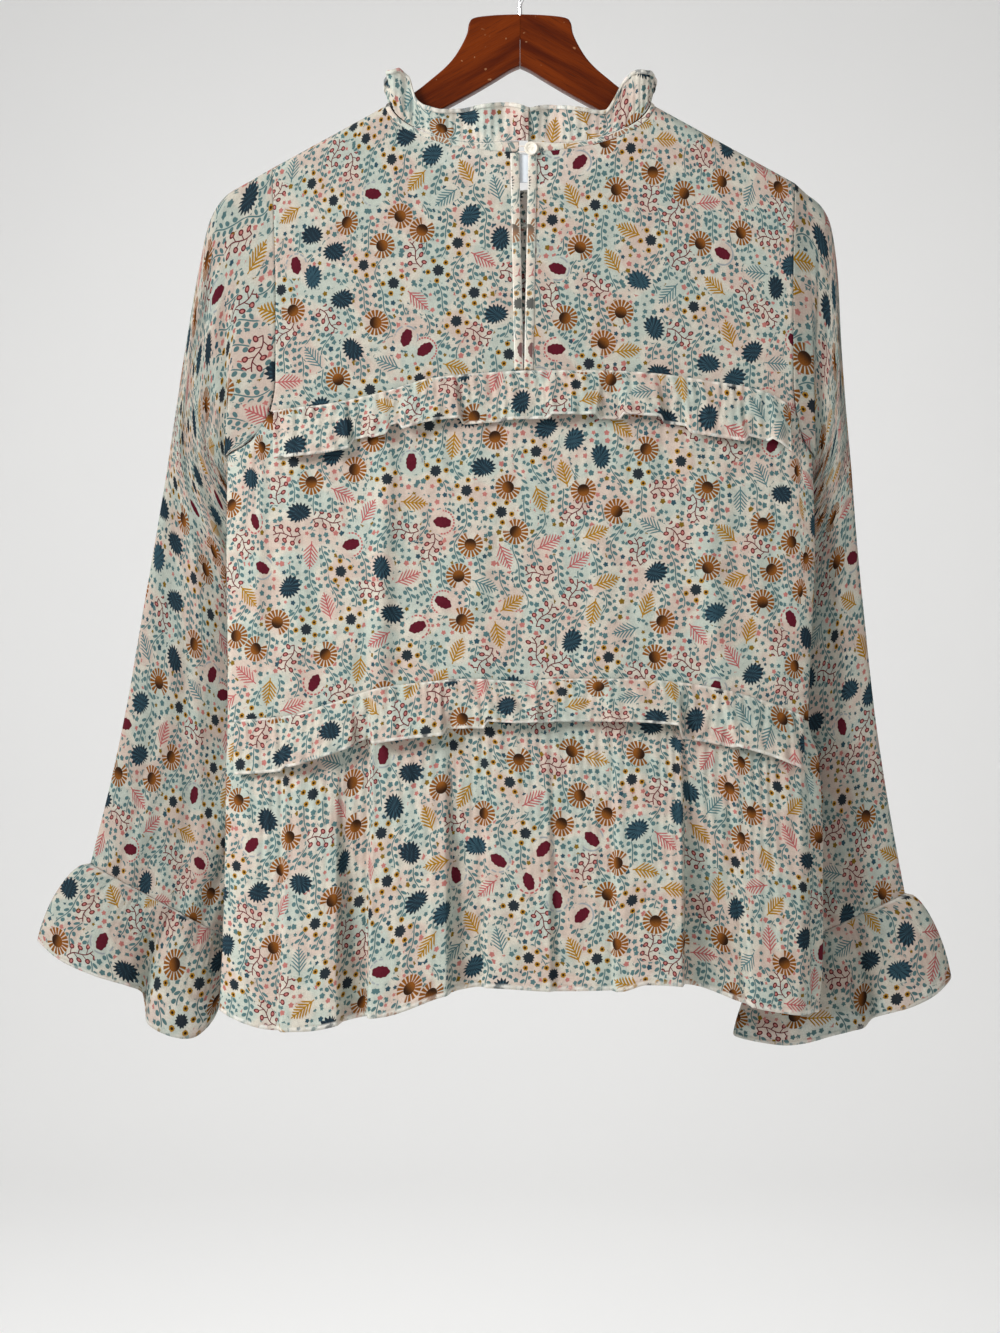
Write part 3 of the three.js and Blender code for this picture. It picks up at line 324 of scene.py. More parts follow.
# a shader value: an expression on it adds its Math nodes to the material
class Shade:
    def __init__(self, tree, socket=None):
        self.tree, self.socket = tree, socket

    # any other node: its type, its settings, then the values or links of its sockets
    def add(self, kind, settings, inputs, output=0):
        node = self.tree.nodes.new("ShaderNode" + kind)
        for name, value in settings.items():
            if name == "stops":
                for n, (place, colour) in enumerate(value):
                    stop = node.color_ramp.elements[n] if n < 2 else node.color_ramp.elements.new(place)
                    stop.position, stop.color = place, colour
            elif name == "steps":
                node.color_ramp.interpolation = value
            else:
                setattr(node, name, value)
        for name, value in inputs.items():
            if isinstance(value, Shade):
                self.tree.links.new(value.socket, node.inputs[name])
            else:
                node.inputs[name].default_value = value
        return Shade(self.tree, node.outputs[output])

    def other(self, output):  # another output of the same node
        return Shade(self.tree, self.socket.node.outputs[output])

    def maths(self, operation, *values):
        return self.add("Math", {"operation": operation}, dict(enumerate(values)))

    def vector(self, operation, *values, output=0):
        return self.add("VectorMath", {"operation": operation}, dict(enumerate(values)), output)

    def __add__(self, other):
        return self.maths("ADD", self, other)

    def __radd__(self, other):
        return self.maths("ADD", other, self)

    def __sub__(self, other):
        return self.maths("SUBTRACT", self, other)

    def __rsub__(self, other):
        return self.maths("SUBTRACT", other, self)

    def __mul__(self, other):
        return self.maths("MULTIPLY", self, other)

    def __rmul__(self, other):
        return self.maths("MULTIPLY", other, self)

    def __lt__(self, other):
        return self.maths("LESS_THAN", self, other)

    def __gt__(self, other):
        return self.maths("GREATER_THAN", self, other)

    def __abs__(self):
        return self.maths("ABSOLUTE", self)

    def sine(self):
        return self.maths("SINE", self)

    def either(self, other):
        return self.maths("MAXIMUM", self, other)

    def rise(self, start, end):  # 0 on the side of start, 1 on the side of end, soft between
        return self.add("MapRange", {"interpolation_type": "SMOOTHSTEP"}, {0: self, 1: start, 2: end})

    def between(self, low, high):
        return (self > low) * (self < high)

    def mixed(self, first, second):  # this mask goes from one colour to the other
        return self.add("Mix", {"data_type": "RGBA"}, {0: self, 6: first, 7: second}, 2)

    def cloudy(self, place, scale, detail=2.0, distortion=0.0, flat=False):
        return self.add("TexNoise", {"noise_dimensions": "2D" if flat else "3D"}, {
            "Vector": place, "Scale": scale, "Detail": detail, "Distortion": distortion})


def newMaterial(name, settings):
    material = bpy.data.materials.new(name)
    material.use_nodes = True
    shader = material.node_tree.nodes["Principled BSDF"]
    for key, value in settings.items():
        shader.inputs[key].default_value = value
    return material, Shade(material.node_tree), shader


def feed(shade, shader, name):
    shade.tree.links.new(shade.socket, shader.inputs[name])


def emboss(shade, shader, height, distance, strength):
    relief = shade.add("Bump", {}, {"Height": height, "Distance": distance, "Strength": strength})
    feed(relief, shader, "Normal")


def clothPlace(shade):  # a place in the flat cloth, in millimetres
    return shade.vector("MULTIPLY", shade.add("UVMap", {"uv_map": "cloth"}, {}), (1 / mm, 1 / mm, 0))


def objectPlace(shade):
    return shade.add("TexCoord", {}, {}, "Object")


# colours of the print, as the cloth shows them in plain light
dyes = {
    "ground": (0.73, 0.685, 0.58, 1), "rosy": (0.71, 0.58, 0.49, 1), "misty": (0.59, 0.64, 0.56, 1),
    "hem": (0.86, 0.83, 0.76, 1), "orange": (0.235, 0.078, 0.012, 1), "bark": (0.03, 0.012, 0.005, 1),
    "navy": (0.013, 0.025, 0.036, 1), "teal": (0.03, 0.075, 0.10, 1), "burgundy": (0.10, 0.008, 0.018, 1),
    "halo": (0.33, 0.36, 0.37, 1), "gold": (0.36, 0.18, 0.014, 1), "fern": (0.09, 0.18, 0.19, 1),
    "pink": (0.42, 0.11, 0.11, 1), "slate": (0.02, 0.028, 0.035, 1), "moss": (0.20, 0.12, 0.015, 1),
    "wine": (0.12, 0.016, 0.022, 1), "blush": (0.46, 0.17, 0.15, 1), "leaf": (0.085, 0.165, 0.17, 1),
}
# sizes in millimetres, then the share of the large lattice at which each motif ends
motifs = {
    "cell": 26, "uneven": 0.4, "turn": 0.55, "dotCell": 5.8, "dotUneven": 0.62, "vineApart": 7.4, "zone": 34,
    "tint": 26, "daisy": 0.19, "thistle": 0.33, "berry": 0.42, "goldLeaf": 0.53, "fern": 0.59, "sprig": 0.69,
    "floret": 0.83,
}


# the nearest motif's centre, and its own random colour
def lattice(shade, place, cell, uneven):
    centre = shade.add("TexVoronoi", {"voronoi_dimensions": "2D"}, {
        "Vector": place, "Scale": 1 / cell, "Randomness": uneven}, "Position")
    return centre, shade.add("SeparateColor", {}, {0: centre.other("Color")})


# round each large motif's own centre: daisies, thistles, soft fruit, feathers, florets and ringed berries
def largeMotifs(shade, place, ground):
    centre, chance = lattice(shade, place, motifs["cell"], motifs["uneven"])
    kind, spare = chance.other("Green"), chance.other("Blue")
    spun = shade.add("VectorRotate", {"rotation_type": "Z_AXIS"}, {
        "Vector": shade.vector("SUBTRACT", place, centre), "Angle": chance * (2 * math.pi)})
    x = shade.add("SeparateXYZ", {}, {0: spun})
    y = x.other(1)
    out = shade.vector("LENGTH", spun, output=1)
    angle = shade.maths("ARCTAN2", y, x)
    side, up = abs(x), abs(y)
    spokes = (angle * 17).sine()
    colour = ground

    daisy = kind < motifs["daisy"]
    rays = spokes.rise(-0.75, -0.3) * out.rise(4.4, 4.8) * out.rise(9.9, 9.4) * angle.rise(-2.3, -2.1)
    heart = out.rise(4.8, 4.4)
    heartColour = (x + y * 0.5).rise(-3.5, 4.5).mixed(dyes["bark"], dyes["orange"])
    colour = (rays * daisy).mixed(colour, dyes["orange"])
    colour = (heart * daisy).mixed(colour, heartColour)

    thistle = kind.between(motifs["daisy"], motifs["thistle"])
    fan = out + spokes * 1.1 + (angle * 2).sine() * 1.2 - angle.sine() * 1.8
    body = fan.rise(7.9, 7.3)
    streaks = spokes * 0.5 + (x * 1.9).sine() * 0.3 + spare
    thistleColour = streaks.rise(0.1, 1.1).mixed(dyes["navy"], dyes["teal"])
    colour = (body * thistle).mixed(colour, thistleColour)

    berry = kind.between(motifs["thistle"], motifs["berry"])
    narrow = shade.vector("LENGTH", shade.vector("MULTIPLY", spun, (1.65, 1, 0)), output=1)
    fruit = (narrow + 0.35 * (angle * 9).sine()).rise(7.1, 6.6)
    dashes = (angle * 26 * spare).sine().rise(-0.9, -0.2)
    halo = out.rise(7.9, 8.3) * out.rise(9.6, 9.2) * y.rise(-2, 0) * dashes
    haloColour = (spare > 0.5).mixed(dyes["halo"], dyes["pink"])
    colour = (halo * berry).mixed(colour, haloColour)
    colour = (fruit * berry).mixed(colour, dyes["burgundy"])

    feather = kind.between(motifs["berry"], motifs["sprig"])
    leaf = kind < motifs["goldLeaf"]
    inside = (5.8 - y * y * 0.058 - side + ((y - side) * 2.1).sine() * 0.9).rise(0, 0.5)
    barbs = ((y - side * 1.15) * 2.1).sine() + leaf * 0.35
    rib = side.rise(0.6, 0.3) * up.rise(10.8, 10.4)
    plume = (inside * barbs.rise(-0.15, 0.2)).either(rib)
    plumeColour = shade.add("ValToRGB", {"steps": "CONSTANT", "stops": [
        (0, dyes["gold"]), (motifs["goldLeaf"], dyes["fern"]), (motifs["fern"], dyes["pink"])]}, {0: kind})
    colour = (plume * feather).mixed(colour, plumeColour)

    floret = kind.between(motifs["sprig"], motifs["floret"])
    middle = (out + 0.3 * (angle * 5).sine() + 0.5 * (angle * 13).sine()).rise(4.4, 3.9)
    fifth = shade.maths("WRAP", angle, math.pi / 5, -math.pi / 5)
    along = out * shade.maths("COSINE", fifth) - 8.0
    beside = out * fifth.sine()
    bead = along * along + beside * beside
    beadColour = bead.rise(1.2, 0.6).mixed(dyes["gold"], dyes["bark"])
    colour = (middle * floret).mixed(colour, dyes["slate"])
    colour = ((bead + 0.8 * (angle * 35).sine()).rise(4.6, 3.4) * floret).mixed(colour, beadColour)

    branch = kind > motifs["floret"]
    sway = x - 1.3 * (y * 0.33).sine()
    arm = abs(sway)
    step = shade.maths("WRAP", y + 1.6 * shade.maths("SIGN", sway), 3.1, -3.1)
    reach = arm - 4.8
    ring = reach * reach + step * step
    twig = abs(step - reach * 0.55).rise(0.5, 0.25) * (arm < 3.8)
    line = arm.rise(0.55, 0.3).either(twig).either(ring.rise(4.0, 3.2))
    branchColour = ring.rise(1.3, 0.7).mixed(dyes["wine"], dyes["blush"])
    colour = (line * branch * up.rise(10.9, 10.5)).mixed(colour, branchColour)

    tall = feather.either(branch)
    taken = out + tall * ((side * 1.6).either(out * 0.86) - out)
    return colour, taken.rise(9.5, 10.3)


# between the large motifs: small flowers and dots, and thin vines with leaves on both sides
def smallMotifs(shade, place, colour, free):
    centre, chance = lattice(shade, place, motifs["dotCell"], motifs["dotUneven"])
    local = shade.vector("SUBTRACT", place, centre)
    x = shade.add("SeparateXYZ", {}, {0: local})
    petals = (shade.maths("ARCTAN2", x.other(1), x) * 5 + chance * 6).sine()
    out = shade.vector("LENGTH", local, output=1) + 0.28 * petals - chance.other("Blue") * 1.0
    dot = out.rise(1.3, 0.9)
    dotColour = shade.add("ValToRGB", {"steps": "CONSTANT", "stops": [
        (0, dyes["leaf"]), (0.5, dyes["teal"]), (0.6, dyes["blush"]),
        (0.8, dyes["moss"]), (0.88, dyes["leaf"])]}, {0: chance.other("Green")})

    across = shade.add("SeparateXYZ", {}, {0: place})
    down = across.other(1)
    sway = across + 4.5 * (down * 0.09).sine() + 1.8 * (down * 0.213).sine()
    vine = shade.maths("WRAP", sway, motifs["vineApart"], -motifs["vineApart"])
    step = shade.maths("WRAP", down + 1.35 * shade.maths("SIGN", vine), 2.7, -2.7)
    reach = abs(vine) - 2.5
    leaf = (reach * reach + step * step + reach * step * 0.7).rise(3.0, 2.2)
    zone = shade.cloudy(place, 1 / motifs["zone"], 0.0, flat=True).rise(0.41, 0.43)
    vineMask = abs(vine).rise(0.6, 0.35).either(leaf) * zone
    kept = 1 - zone * (abs(vine) < 4.6)
    colour = (dot * kept * free).mixed(colour, dotColour)
    return (vineMask * free).mixed(colour, dyes["leaf"])


# sheer crinkled crepe with the print, paler along its double edges; a bound edge is paler all over. The print
# is darkened with painted shade in a mottle over the crinkles and grain; a deep factor below 1 darkens the
# whole colour, painted shade for the sleeves and the yoke
# sleeve and yoke are painted shade: the share of its colour that each darker copy of the crepe keeps
crepe = {
    "see": 0.7, "boundSee": 0.86, "inkSee": 0.97, "bleach": 0.12, "sleeve": 0.8, "yoke": 0.94,
    "grain": 1.1, "grainDeep": 0.35, "crinkle": 7.0, "crinkleDeep": 0.25, "dim": (0.68, 0.68, 0.7),
}


def crepeFinish(name, see, bleach, deep=1.0):
    material, shade, shader = newMaterial(name, {"Roughness": 0.8, "Specular IOR Level": 0.08})
    place = clothPlace(shade)
    turned = shade.add("VectorRotate", {"rotation_type": "Z_AXIS"}, {
        "Vector": place, "Angle": motifs["turn"]})
    grain = shade.cloudy(place, 1 / crepe["grain"], 1.0, flat=True)
    crinkle = shade.cloudy(place, 1 / crepe["crinkle"], flat=True)
    tint = shade.cloudy(place, 1 / motifs["tint"], 0.0, flat=True)
    ground = tint.rise(0.42, 0.6).mixed(dyes["misty"], dyes["rosy"])
    ground = (abs(tint - 0.5) * 9.0).rise(0.2, 1.4).mixed(dyes["ground"], ground)
    printed, free = largeMotifs(shade, turned, ground)
    printed = smallMotifs(shade, place, printed, free)
    # painted shade: the print is darkened in a mottle that follows the crinkles and the fine grain
    crinkleShadeMask = grain.rise(0.35, 0.65) * crepe["grainDeep"] + crinkle.rise(0.35, 0.65) * crepe["crinkleDeep"]
    shadedPrint = crinkleShadeMask.mixed(printed, shade.vector("MULTIPLY", printed, crepe["dim"]))
    if bleach > 0:
        shadedPrint = shade.add("Mix", {"data_type": "RGBA"}, {0: bleach, 6: shadedPrint, 7: dyes["ground"]}, 2)
    ink = shade.add("RGBToBW", {}, {"Color": shadedPrint}).rise(0.6, 0.1)
    feed(see + ink * (crepe["inkSee"] - see), shader, "Alpha")
    edge = shade.add("Attribute", {"attribute_name": "edge"}, {}, "Fac")
    lit = edge.rise(0.2, 0.8) * (0.2 + 0.55 * crinkle.rise(0.4, 0.6))
    shown = lit.mixed(shadedPrint, dyes["hem"])
    # painted shade: the whole colour is darkened by deep, for the sleeves and the yoke
    if deep < 1:
        shown = shade.vector("MULTIPLY", shown, (deep, deep, deep))
    feed(shown, shader, "Base Color")
    emboss(shade, shader, grain * 0.25 + crinkle, 0.0008, 0.6)
    return material


clothMaterial = crepeFinish("printedCrepe", crepe["see"], 0.0)
# painted shade: the sleeves and the yoke take darker copies of the same crepe
shadedSleeveMaterial = crepeFinish("sleeveCrepeShaded", crepe["see"], 0.0, crepe["sleeve"])
shadedYokeMaterial = crepeFinish("yokeCrepeShaded", crepe["see"], 0.0, crepe["yoke"])
trimMaterial = crepeFinish("boundCrepe", crepe["boundSee"], crepe["bleach"])

labelMaterial, shade, shader = newMaterial("satinTape", {"Roughness": 0.38, "Sheen Weight": 0.2})
threads = shade.add("TexWave", {"bands_direction": "Y"}, {
    "Vector": clothPlace(shade), "Scale": 0.7, "Distortion": 0.4}, 1)
feed(threads.mixed((0.74, 0.80, 0.86, 1), (0.80, 0.85, 0.90, 1)), shader, "Base Color")
emboss(shade, shader, threads, 0.0002, 0.4)
print("made the cloth materials")


# varnished mahogany: fine grain along the arm, darker in its pores, with a few pale rubbed specks
def woodFinish(name, lean):
    material, shade, shader = newMaterial(name, {"Coat Weight": 0.14, "Specular IOR Level": 0.1})
    shader.inputs["Coat Roughness"].default_value = 0.12
    place = objectPlace(shade)
    turned = shade.add("VectorRotate", {"rotation_type": "Y_AXIS"}, {"Vector": place, "Angle": lean})
    broad = shade.vector("MULTIPLY", turned, (9, 130, 130))
    figure = shade.cloudy(broad, 1.0, 4.0, 0.4)
    pores = shade.cloudy(shade.vector("MULTIPLY", turned, (60, 1400, 1400)), 1.0)
    specks = shade.cloudy(place, 210.0, 1.0).rise(0.74, 0.76)
    stain = figure.rise(0.25, 0.75).mixed(hanger["dark"], hanger["light"])
    stain = (pores.rise(0.58, 0.68) * 0.45).mixed(stain, hanger["pore"])
    feed((specks * 0.4).mixed(stain, hanger["rubbed"]), shader, "Base Color")
    feed(0.22 + pores * 0.14, shader, "Roughness")
    emboss(shade, shader, figure + specks, 0.0002, 0.2)
    return material


# the hanger's two arms, glued edge to edge at the middle, with every other edge rounded over
hanger = {
    "thick": 12, "round": 4.6, "fine": 5, "joint": 0.1, "lean": 0.5,
    "top": [
        (0, -62), (18, -62.6), (34, -64.5), (38.5, -68.5), (40, -76), (43.5, -84), (49.5, -94),
        (57, -102.5), (67, -111), (79, -120.4), (93, -128.2), (130, -148.4), (165, -167.6),
        (199, -186.3), (204, -192), (206, -199),
    ],
    "foot": [(200, -202.5), (160, -184.5), (100, -155.5), (45, -126.4), (20, -112), (8, -104.6), (0, -101)],
    "dark": (0.062, 0.007, 0.0004, 1), "light": (0.155, 0.024, 0.001, 1), "pore": (0.03, 0.004, 0.0005, 1),
    "rubbed": (0.5, 0.27, 0.13, 1),
}


def softLine(points, fine):
    led = [points[0], *points, points[-1]]
    line = []
    for four in zip(led, led[1:], led[2:], led[3:]):
        line += [[passing(*values, step / fine) for values in zip(*four)] for step in range(fine)]
    return line + [list(points[-1])]


for side, end in (("left", -1), ("right", 1)):
    edge = softLine(hanger["top"], hanger["fine"]) + softLine(hanger["foot"], hanger["fine"])
    mesh = bmesh.new()
    rim = []
    for x, z in edge:
        rim.append(mesh.verts.new(Vector((end * max(x, hanger["joint"]), -hanger["thick"] / 2, z)) * mm))
    face = mesh.faces.new(rim)
    grown = bmesh.ops.extrude_face_region(mesh, geom=[face])["geom"]
    bmesh.ops.translate(mesh, verts=[v for v in grown if isinstance(v, bmesh.types.BMVert)],
                        vec=(0, hanger["thick"] * mm, 0))
    bmesh.ops.recalc_face_normals(mesh, faces=mesh.faces)
    rounded = [e for e in mesh.edges if abs(e.verts[0].co.y - e.verts[1].co.y) < 1e-6
               and max(abs(v.co.x) for v in e.verts) > 0.3 * mm]
    bmesh.ops.bevel(mesh, geom=rounded, offset=hanger["round"] * mm, affect="EDGES", segments=4,
                    profile=0.5, material=-1, clamp_overlap=True)
    for face in mesh.faces:  # the two faces and the joint are flat
        face.smooth = max(abs(face.normal.x), abs(face.normal.y)) < 0.999
    title = side.capitalize()
    piece = linkedPiece("hangerArm" + title, mesh)
    piece.data.materials.append(woodFinish("varnishedMahogany" + title, end * -hanger["lean"]))
    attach(piece, "root")
    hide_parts("hanger_arm_" + side)
    print("made", piece.name)

# the back yoke: two halves on either side of the slit
yoke = {"columns": 90, "rows": 110, "overShare": 0.12, "shoulderShare": 0.46, "overSpread": 0.15}
lastTurn = {}
for end in (-1, 1):
    lastTurn[end] = math.degrees(math.asin(abs(slitEdge(torso["neckBack"], end)) / torso["neckHalf"]))


def topPlace(u, end, last):
    if u < yoke["shoulderShare"]:
        return lerp(armX[end], end * torso["neckHalf"], u / yoke["shoulderShare"])
    return end * neckX(lerp(90, last, (u - yoke["shoulderShare"]) / (1 - yoke["shoulderShare"])))


def spreadPlace(place):
    away, sign = abs(place), math.copysign(1, place)
    if away < torso["neckHalf"] - 1e-6:
        return sign * torso["neckSpread"] * math.asin(away / torso["neckHalf"]) / math.radians(90)
    arm = abs(armX[int(sign)])
    return sign * lerp(torso["neckSpread"], arm, (away - torso["neckHalf"]) / (arm - torso["neckHalf"]))


def overTurn(v):
    part = min(1.0, v / yoke["overShare"])
    down = max(0.0, (v - yoke["overShare"]) / (1 - yoke["overShare"]))
    drop = torso["over"] * (1 - math.cos(math.radians(90 * part)))
    return drop, down, lerp(yoke["overSpread"] * part, 1, 1 - (1 - down) ** 3)


def yokePoint(end, place, v):
    drop, down, spread = overTurn(v)
    slitTop = slitEdge(torso["neckBack"], end)
    start = (place - armX[end]) / (slitTop - armX[end])
    finish = (spreadPlace(place) - armX[end]) / (spreadPlace(slitTop) - armX[end])
    share = lerp(start, finish, spread)
    foot = -366.0
    for turn in range(3):
        foot = yokeSeamAt(lerp(edgeX(foot, end), slitEdge(foot, end), share)) + torso["gap"] / 2
    z = lerp(topZ(place, -1) - drop, foot, down)
    x = lerp(edgeX(z, end), slitEdge(z, end), share)
    return onTorso(x, z, -1, 0.25 * rumple(x, z, 17, 2) * min(1.0, 4 * down))


for side, end in (("left", -1), ("right", 1)):
    def place(u, v):
        return yokePoint(end, topPlace(u if end < 0 else 1 - u, end, lastTurn[end]), v)

    title = "yokePanel" + side.capitalize()
    piece = clothPiece(title, (yoke["columns"], yoke["rows"]), place, upright=True)
    finishCloth(piece, ["back_yoke_" + side], shadedYokeMaterial)

# the middle tier of the back
middle = {"columns": 260, "rows": 110}


def middlePlace(u):
    straight = lerp(bodyLeft, bodyRight, u)
    rounded = bodyRight * math.sin(math.pi * (u - 0.5))
    return lerp(straight, rounded, 0.6)


def middlePoint(u, v):
    place = middlePlace(u)
    share = (place - bodyLeft) / (bodyRight - bodyLeft)
    z = lerp(yokeSeamAt(place) - torso["gap"] / 2, waistZ(place, -1) + torso["gap"] / 2, v)
    low = min(z, torso["underarm"])
    x = lerp(outlineAt[-1](low), outlineAt[1](low), share)
    edges = inset(v, 12) * inset(u, 10)
    out = 1.5 * rumple(x, z, 20, 5) + 0.6 * rumple(x, z, 8, 6) + gathers(x, v, 8.5, 1) * math.exp(-5 * v)
    return onTorso(x, z, -1, out * edges)


piece = clothPiece("middlePanel", (middle["columns"], middle["rows"]), middlePoint, upright=True)
finishCloth(piece, ["back_middle"], clothMaterial)

# the front, in one piece from the neck to the waist seam
front = {"columns": 220, "rows": 170}


def frontPoint(place, v):
    drop, down, spread = overTurn(v)
    span = armX[1] - armX[-1]
    share = (lerp(place, spreadPlace(place) if place else 0.0, spread) - armX[-1]) / span
    foot = waistZ(lerp(bodyLeft, bodyRight, share), 1) + torso["gap"] / 2
    z = lerp(topZ(place, 1) - drop, foot, down)
    x = lerp(edgeX(z, -1), edgeX(z, 1), share)
    edges = inset(down, 8) * inset(share, 8)
    return onTorso(x, z, 1, 0.8 * rumple(x, z, 21, 9) * edges)


def frontPlace(u, v):
    place = topPlace(2 * (1 - u), -1, 0) if u > 0.5 else topPlace(2 * u, 1, 0)
    return frontPoint(place, v)


piece = clothPiece("frontPanel", (front["columns"], front["rows"]), frontPlace, upright=True)
finishCloth(piece, ["front"], clothMaterial)

# the gathered lower tiers: folds from left to right, with their tops, feet and heights, made "deep" times
# as high
tiers = {
    "columns": 420, "rows": 110, "turn": 3.6, "fade": 22, "deep": 1.5,
    "back": [
        (-230, -230, 1), (-221, -221, 4), (-178, -180, 11), (-137, -135, 1), (-112, -114, 13), (-54, -53, 4),
        (-26, -27, 9), (22, 24, 6), (71, 70, 13), (123, 122, 1), (152, 172, 12), (216, 219, 2),
    ],
    "front": [
        (-230, -230, 1), (-205, -203, 5), (-160, -163, 1), (-122, -120, 9), (-74, -78, 2), (-38, -36, 10),
        (14, 16, 3), (52, 50, 10), (100, 104, 2), (138, 136, 6), (188, 192, 1),
    ],
}


def tierPoint(side, u, v):
    folds = tiers["back" if side < 0 else "front"]
    wanted = middlePlace(u)
    z = lerp(waistZ(wanted, side) - torso["gap"] / 2, hemAt(wanted), v)
    left, right = outlineAt[-1](z), outlineAt[1](z)
    x = lerp(left, right, (wanted - bodyLeft) / (bodyRight - bodyLeft))
    fade = smooth((x - left) / tiers["fade"]) * smooth((right - x) / tiers["fade"])
    out = tiers["deep"] * folded(folds, 2, x, v, tiers["turn"]) * smooth(v * 1.1)
    out += 1.3 * rumple(x, z, 14, side * 7) * smooth(v * 3)
    out += 1.2 * gathers(x, v, 8, side) * math.exp(-2.2 * v) * clamp(9 * v)
    return onTorso(x, z, side, out * fade)


for name, side in (("back", -1), ("front", 1)):
    def place(u, v):
        return tierPoint(side, u if side < 0 else 1 - u, v)

    piece = clothPiece(name + "LowerTier", (tiers["columns"], tiers["rows"]), place, hem=5)
    finishCloth(piece, [name + "_lower_tier"], clothMaterial)

# the narrow frills in the yoke seam and the waist seam: tops, feet, heights and drops of their folds
frills = {
    "columns": 520, "rows": 26, "turn": 4.2, "head": 1.5, "lift": 1.9,
    "yoke": [
        (-186, -186, 2, 35), (-176, -178, 6, 37), (-131, -127, 1.5, 31), (-115, -113, 6, 33),
        (-98, -99, 3, 27), (-84, -90, 7, 33), (-49, -44, 2, 38), (-14, -13, 5, 37), (19, 22, 8, 34),
        (62, 58, 3.5, 37), (74, 76, 7, 33), (104, 107, 2, 37), (121, 126, 6, 42), (163, 170, 4, 37),
        (190, 188, 7, 34),
    ],
    "back": [
        (-222, -222, 3, 41), (-178, -179, 8, 38), (-127, -124, 2, 36), (-113, -112, 9, 41), (-60, -57, 4, 37),
        (-29, -26, 9, 31), (12, 14, 6, 32), (64, 66, 10, 32), (122, 120, 4, 42), (150, 161, 10, 40),
        (207, 212, 4, 38),
    ],
    "front": [
        (-222, -222, 2, 38), (-190, -188, 5, 37), (-140, -142, 2, 36), (-104, -100, 8, 37), (-56, -58, 3, 34),
        (-14, -10, 8, 35), (38, 34, 3, 34), (78, 82, 7, 37), (128, 126, 2, 36), (166, 168, 5, 38),
        (204, 206, 2, 38),
    ],
}


def underFrill(side, x, z):
    seam = waistZ(x, side)
    down = clamp((seam - z) / (seam - hemAt(x)))
    out = tiers["deep"] * folded(tiers["back" if side < 0 else "front"], 2, x, down, tiers["turn"])
    return out * smooth(down * 1.1) + 0.6 * clamp(down * 20)


def frillPoint(name, side, left, right, u, v):
    x = lerp(left, right, u)
    seam = yokeSeamAt(x) if name == "yoke" else waistZ(x, side)
    z = seam + frills["head"] - folded(frills[name], 3, x, v, frills["turn"]) * v
    out = frills["lift"] + 1.2 * folded(frills[name], 2, x, v, frills["turn"]) * smooth(v * 0.9 + 0.12)
    out += 0.8 * gathers(x, v, 7.5, 11) * (0.35 + 0.65 * math.exp(-3 * v)) + 2.4 * rumple(x, z, 9, 13) * v
    out += 1.1 * rumple(x, 2 * z, 6, 17)
    return onTorso(x, z, side, out + (0 if name == "yoke" else underFrill(side, x, z)))


frillCuts = [
    ("yokeFrill", "yoke", -1, -186, 204, "yoke_frill", (0.50, 0.038)),
    ("waistFrillBack", "back", -1, -216, 214, "waist_frill_back", (0.55, 0.040)),
    ("waistFrillFront", "front", 1, -216, 214, "waist_frill_front", (0.55, 0.040)),
]
for title, name, side, left, right, node, flat in frillCuts:
    def place(u, v):
        return frillPoint(name, side, left, right, u if side < 0 else 1 - u, v)

    piece = clothPiece(title, (frills["columns"], frills["rows"]), place, hem=3, head=2.2)
    finishCloth(piece, [node], clothMaterial)

# the neck edge, from the slit over the right shoulder, round the front and back to the slit
neck = {
    "angle": [0, 7, 16, 28, 40, 55, 75, 90, 120, 180],
    "band": [7.8, 7.4, 5, 3.6, 3.6, 3.6, 3.6, 3.6, 3.6, 3.6],
    "collarTurn": [0, 7, 16, 28, 40, 46, 52, 58, 66, 76, 90, 120, 180],
    "collarLeft": [29, 29, 28, 24, 19, 19, 22, 36, 36, 29, 23, 27, 28],
    "collarRight": [29, 29, 28, 24, 19, 27, 36, 38, 35, 29, 23, 27, 28],
}
neckSteps = 70
rightTurns = [lerp(lastTurn[1], 90, n / neckSteps) for n in range(neckSteps)]
leftTurns = [lerp(90, lastTurn[-1], n / neckSteps) for n in range(1, neckSteps + 1)]
frontTurns = [lerp(90, -90, n / (2 * neckSteps)) for n in range(2 * neckSteps + 1)]
neckRing = [yokePoint(1, neckX(turn), 0) for turn in rightTurns]
neckRing += [frontPoint(neckX(turn), 0) for turn in frontTurns]
neckRing += [yokePoint(-1, -neckX(turn), 0) for turn in leftTurns]
ringLengths = lengthsAlong(neckRing)
ringTotal = ringLengths[-1]
bandAt = curve(neck, "angle", "band")
collarAt = {-1: curve(neck, "collarTurn", "collarLeft"), 1: curve(neck, "collarTurn", "collarRight")}


def ringPoint(length):
    return pointAlong(neckRing, ringLengths, length)


def neckAt(length):
    point = ringPoint(length)
    before, after = ringPoint(max(0.0, length - 8)), ringPoint(min(ringTotal, length + 8))
    out = Vector((after.y - before.y, before.x - after.x, 0)).normalized()
    angle = math.degrees(math.asin(clamp(abs(point.x) / torso["neckHalf"])))
    around = angle if point.y < 0 else 180 - angle
    low = torso["neckBack"] if point.y < 0 else torso["neckFront"]
    rise = abs(shoulderZ(torso["neckHalf"]) - low)
    half, turn = torso["neckHalf"], math.radians(angle)
    tilt = min(math.radians(45), math.atan2(rise * math.sin(turn), half * math.cos(turn)))
    way = Vector((-math.copysign(math.sin(tilt), point.x), 0, math.cos(tilt)))
    top = 1 - clamp(abs(point.y) / torso["over"])
    foot = 0.1 + 0.3 * math.sin(tilt) + 0.7 * top
    seam = 0.1 + 1.3 * math.sin(tilt)
    tall = collarAt[-1 if point.x < 0 else 1](around)
    return point, out, way, top, foot, bandAt(around), seam, tall


band = {"columns": 400, "rows": 6, "bulge": 0.35}


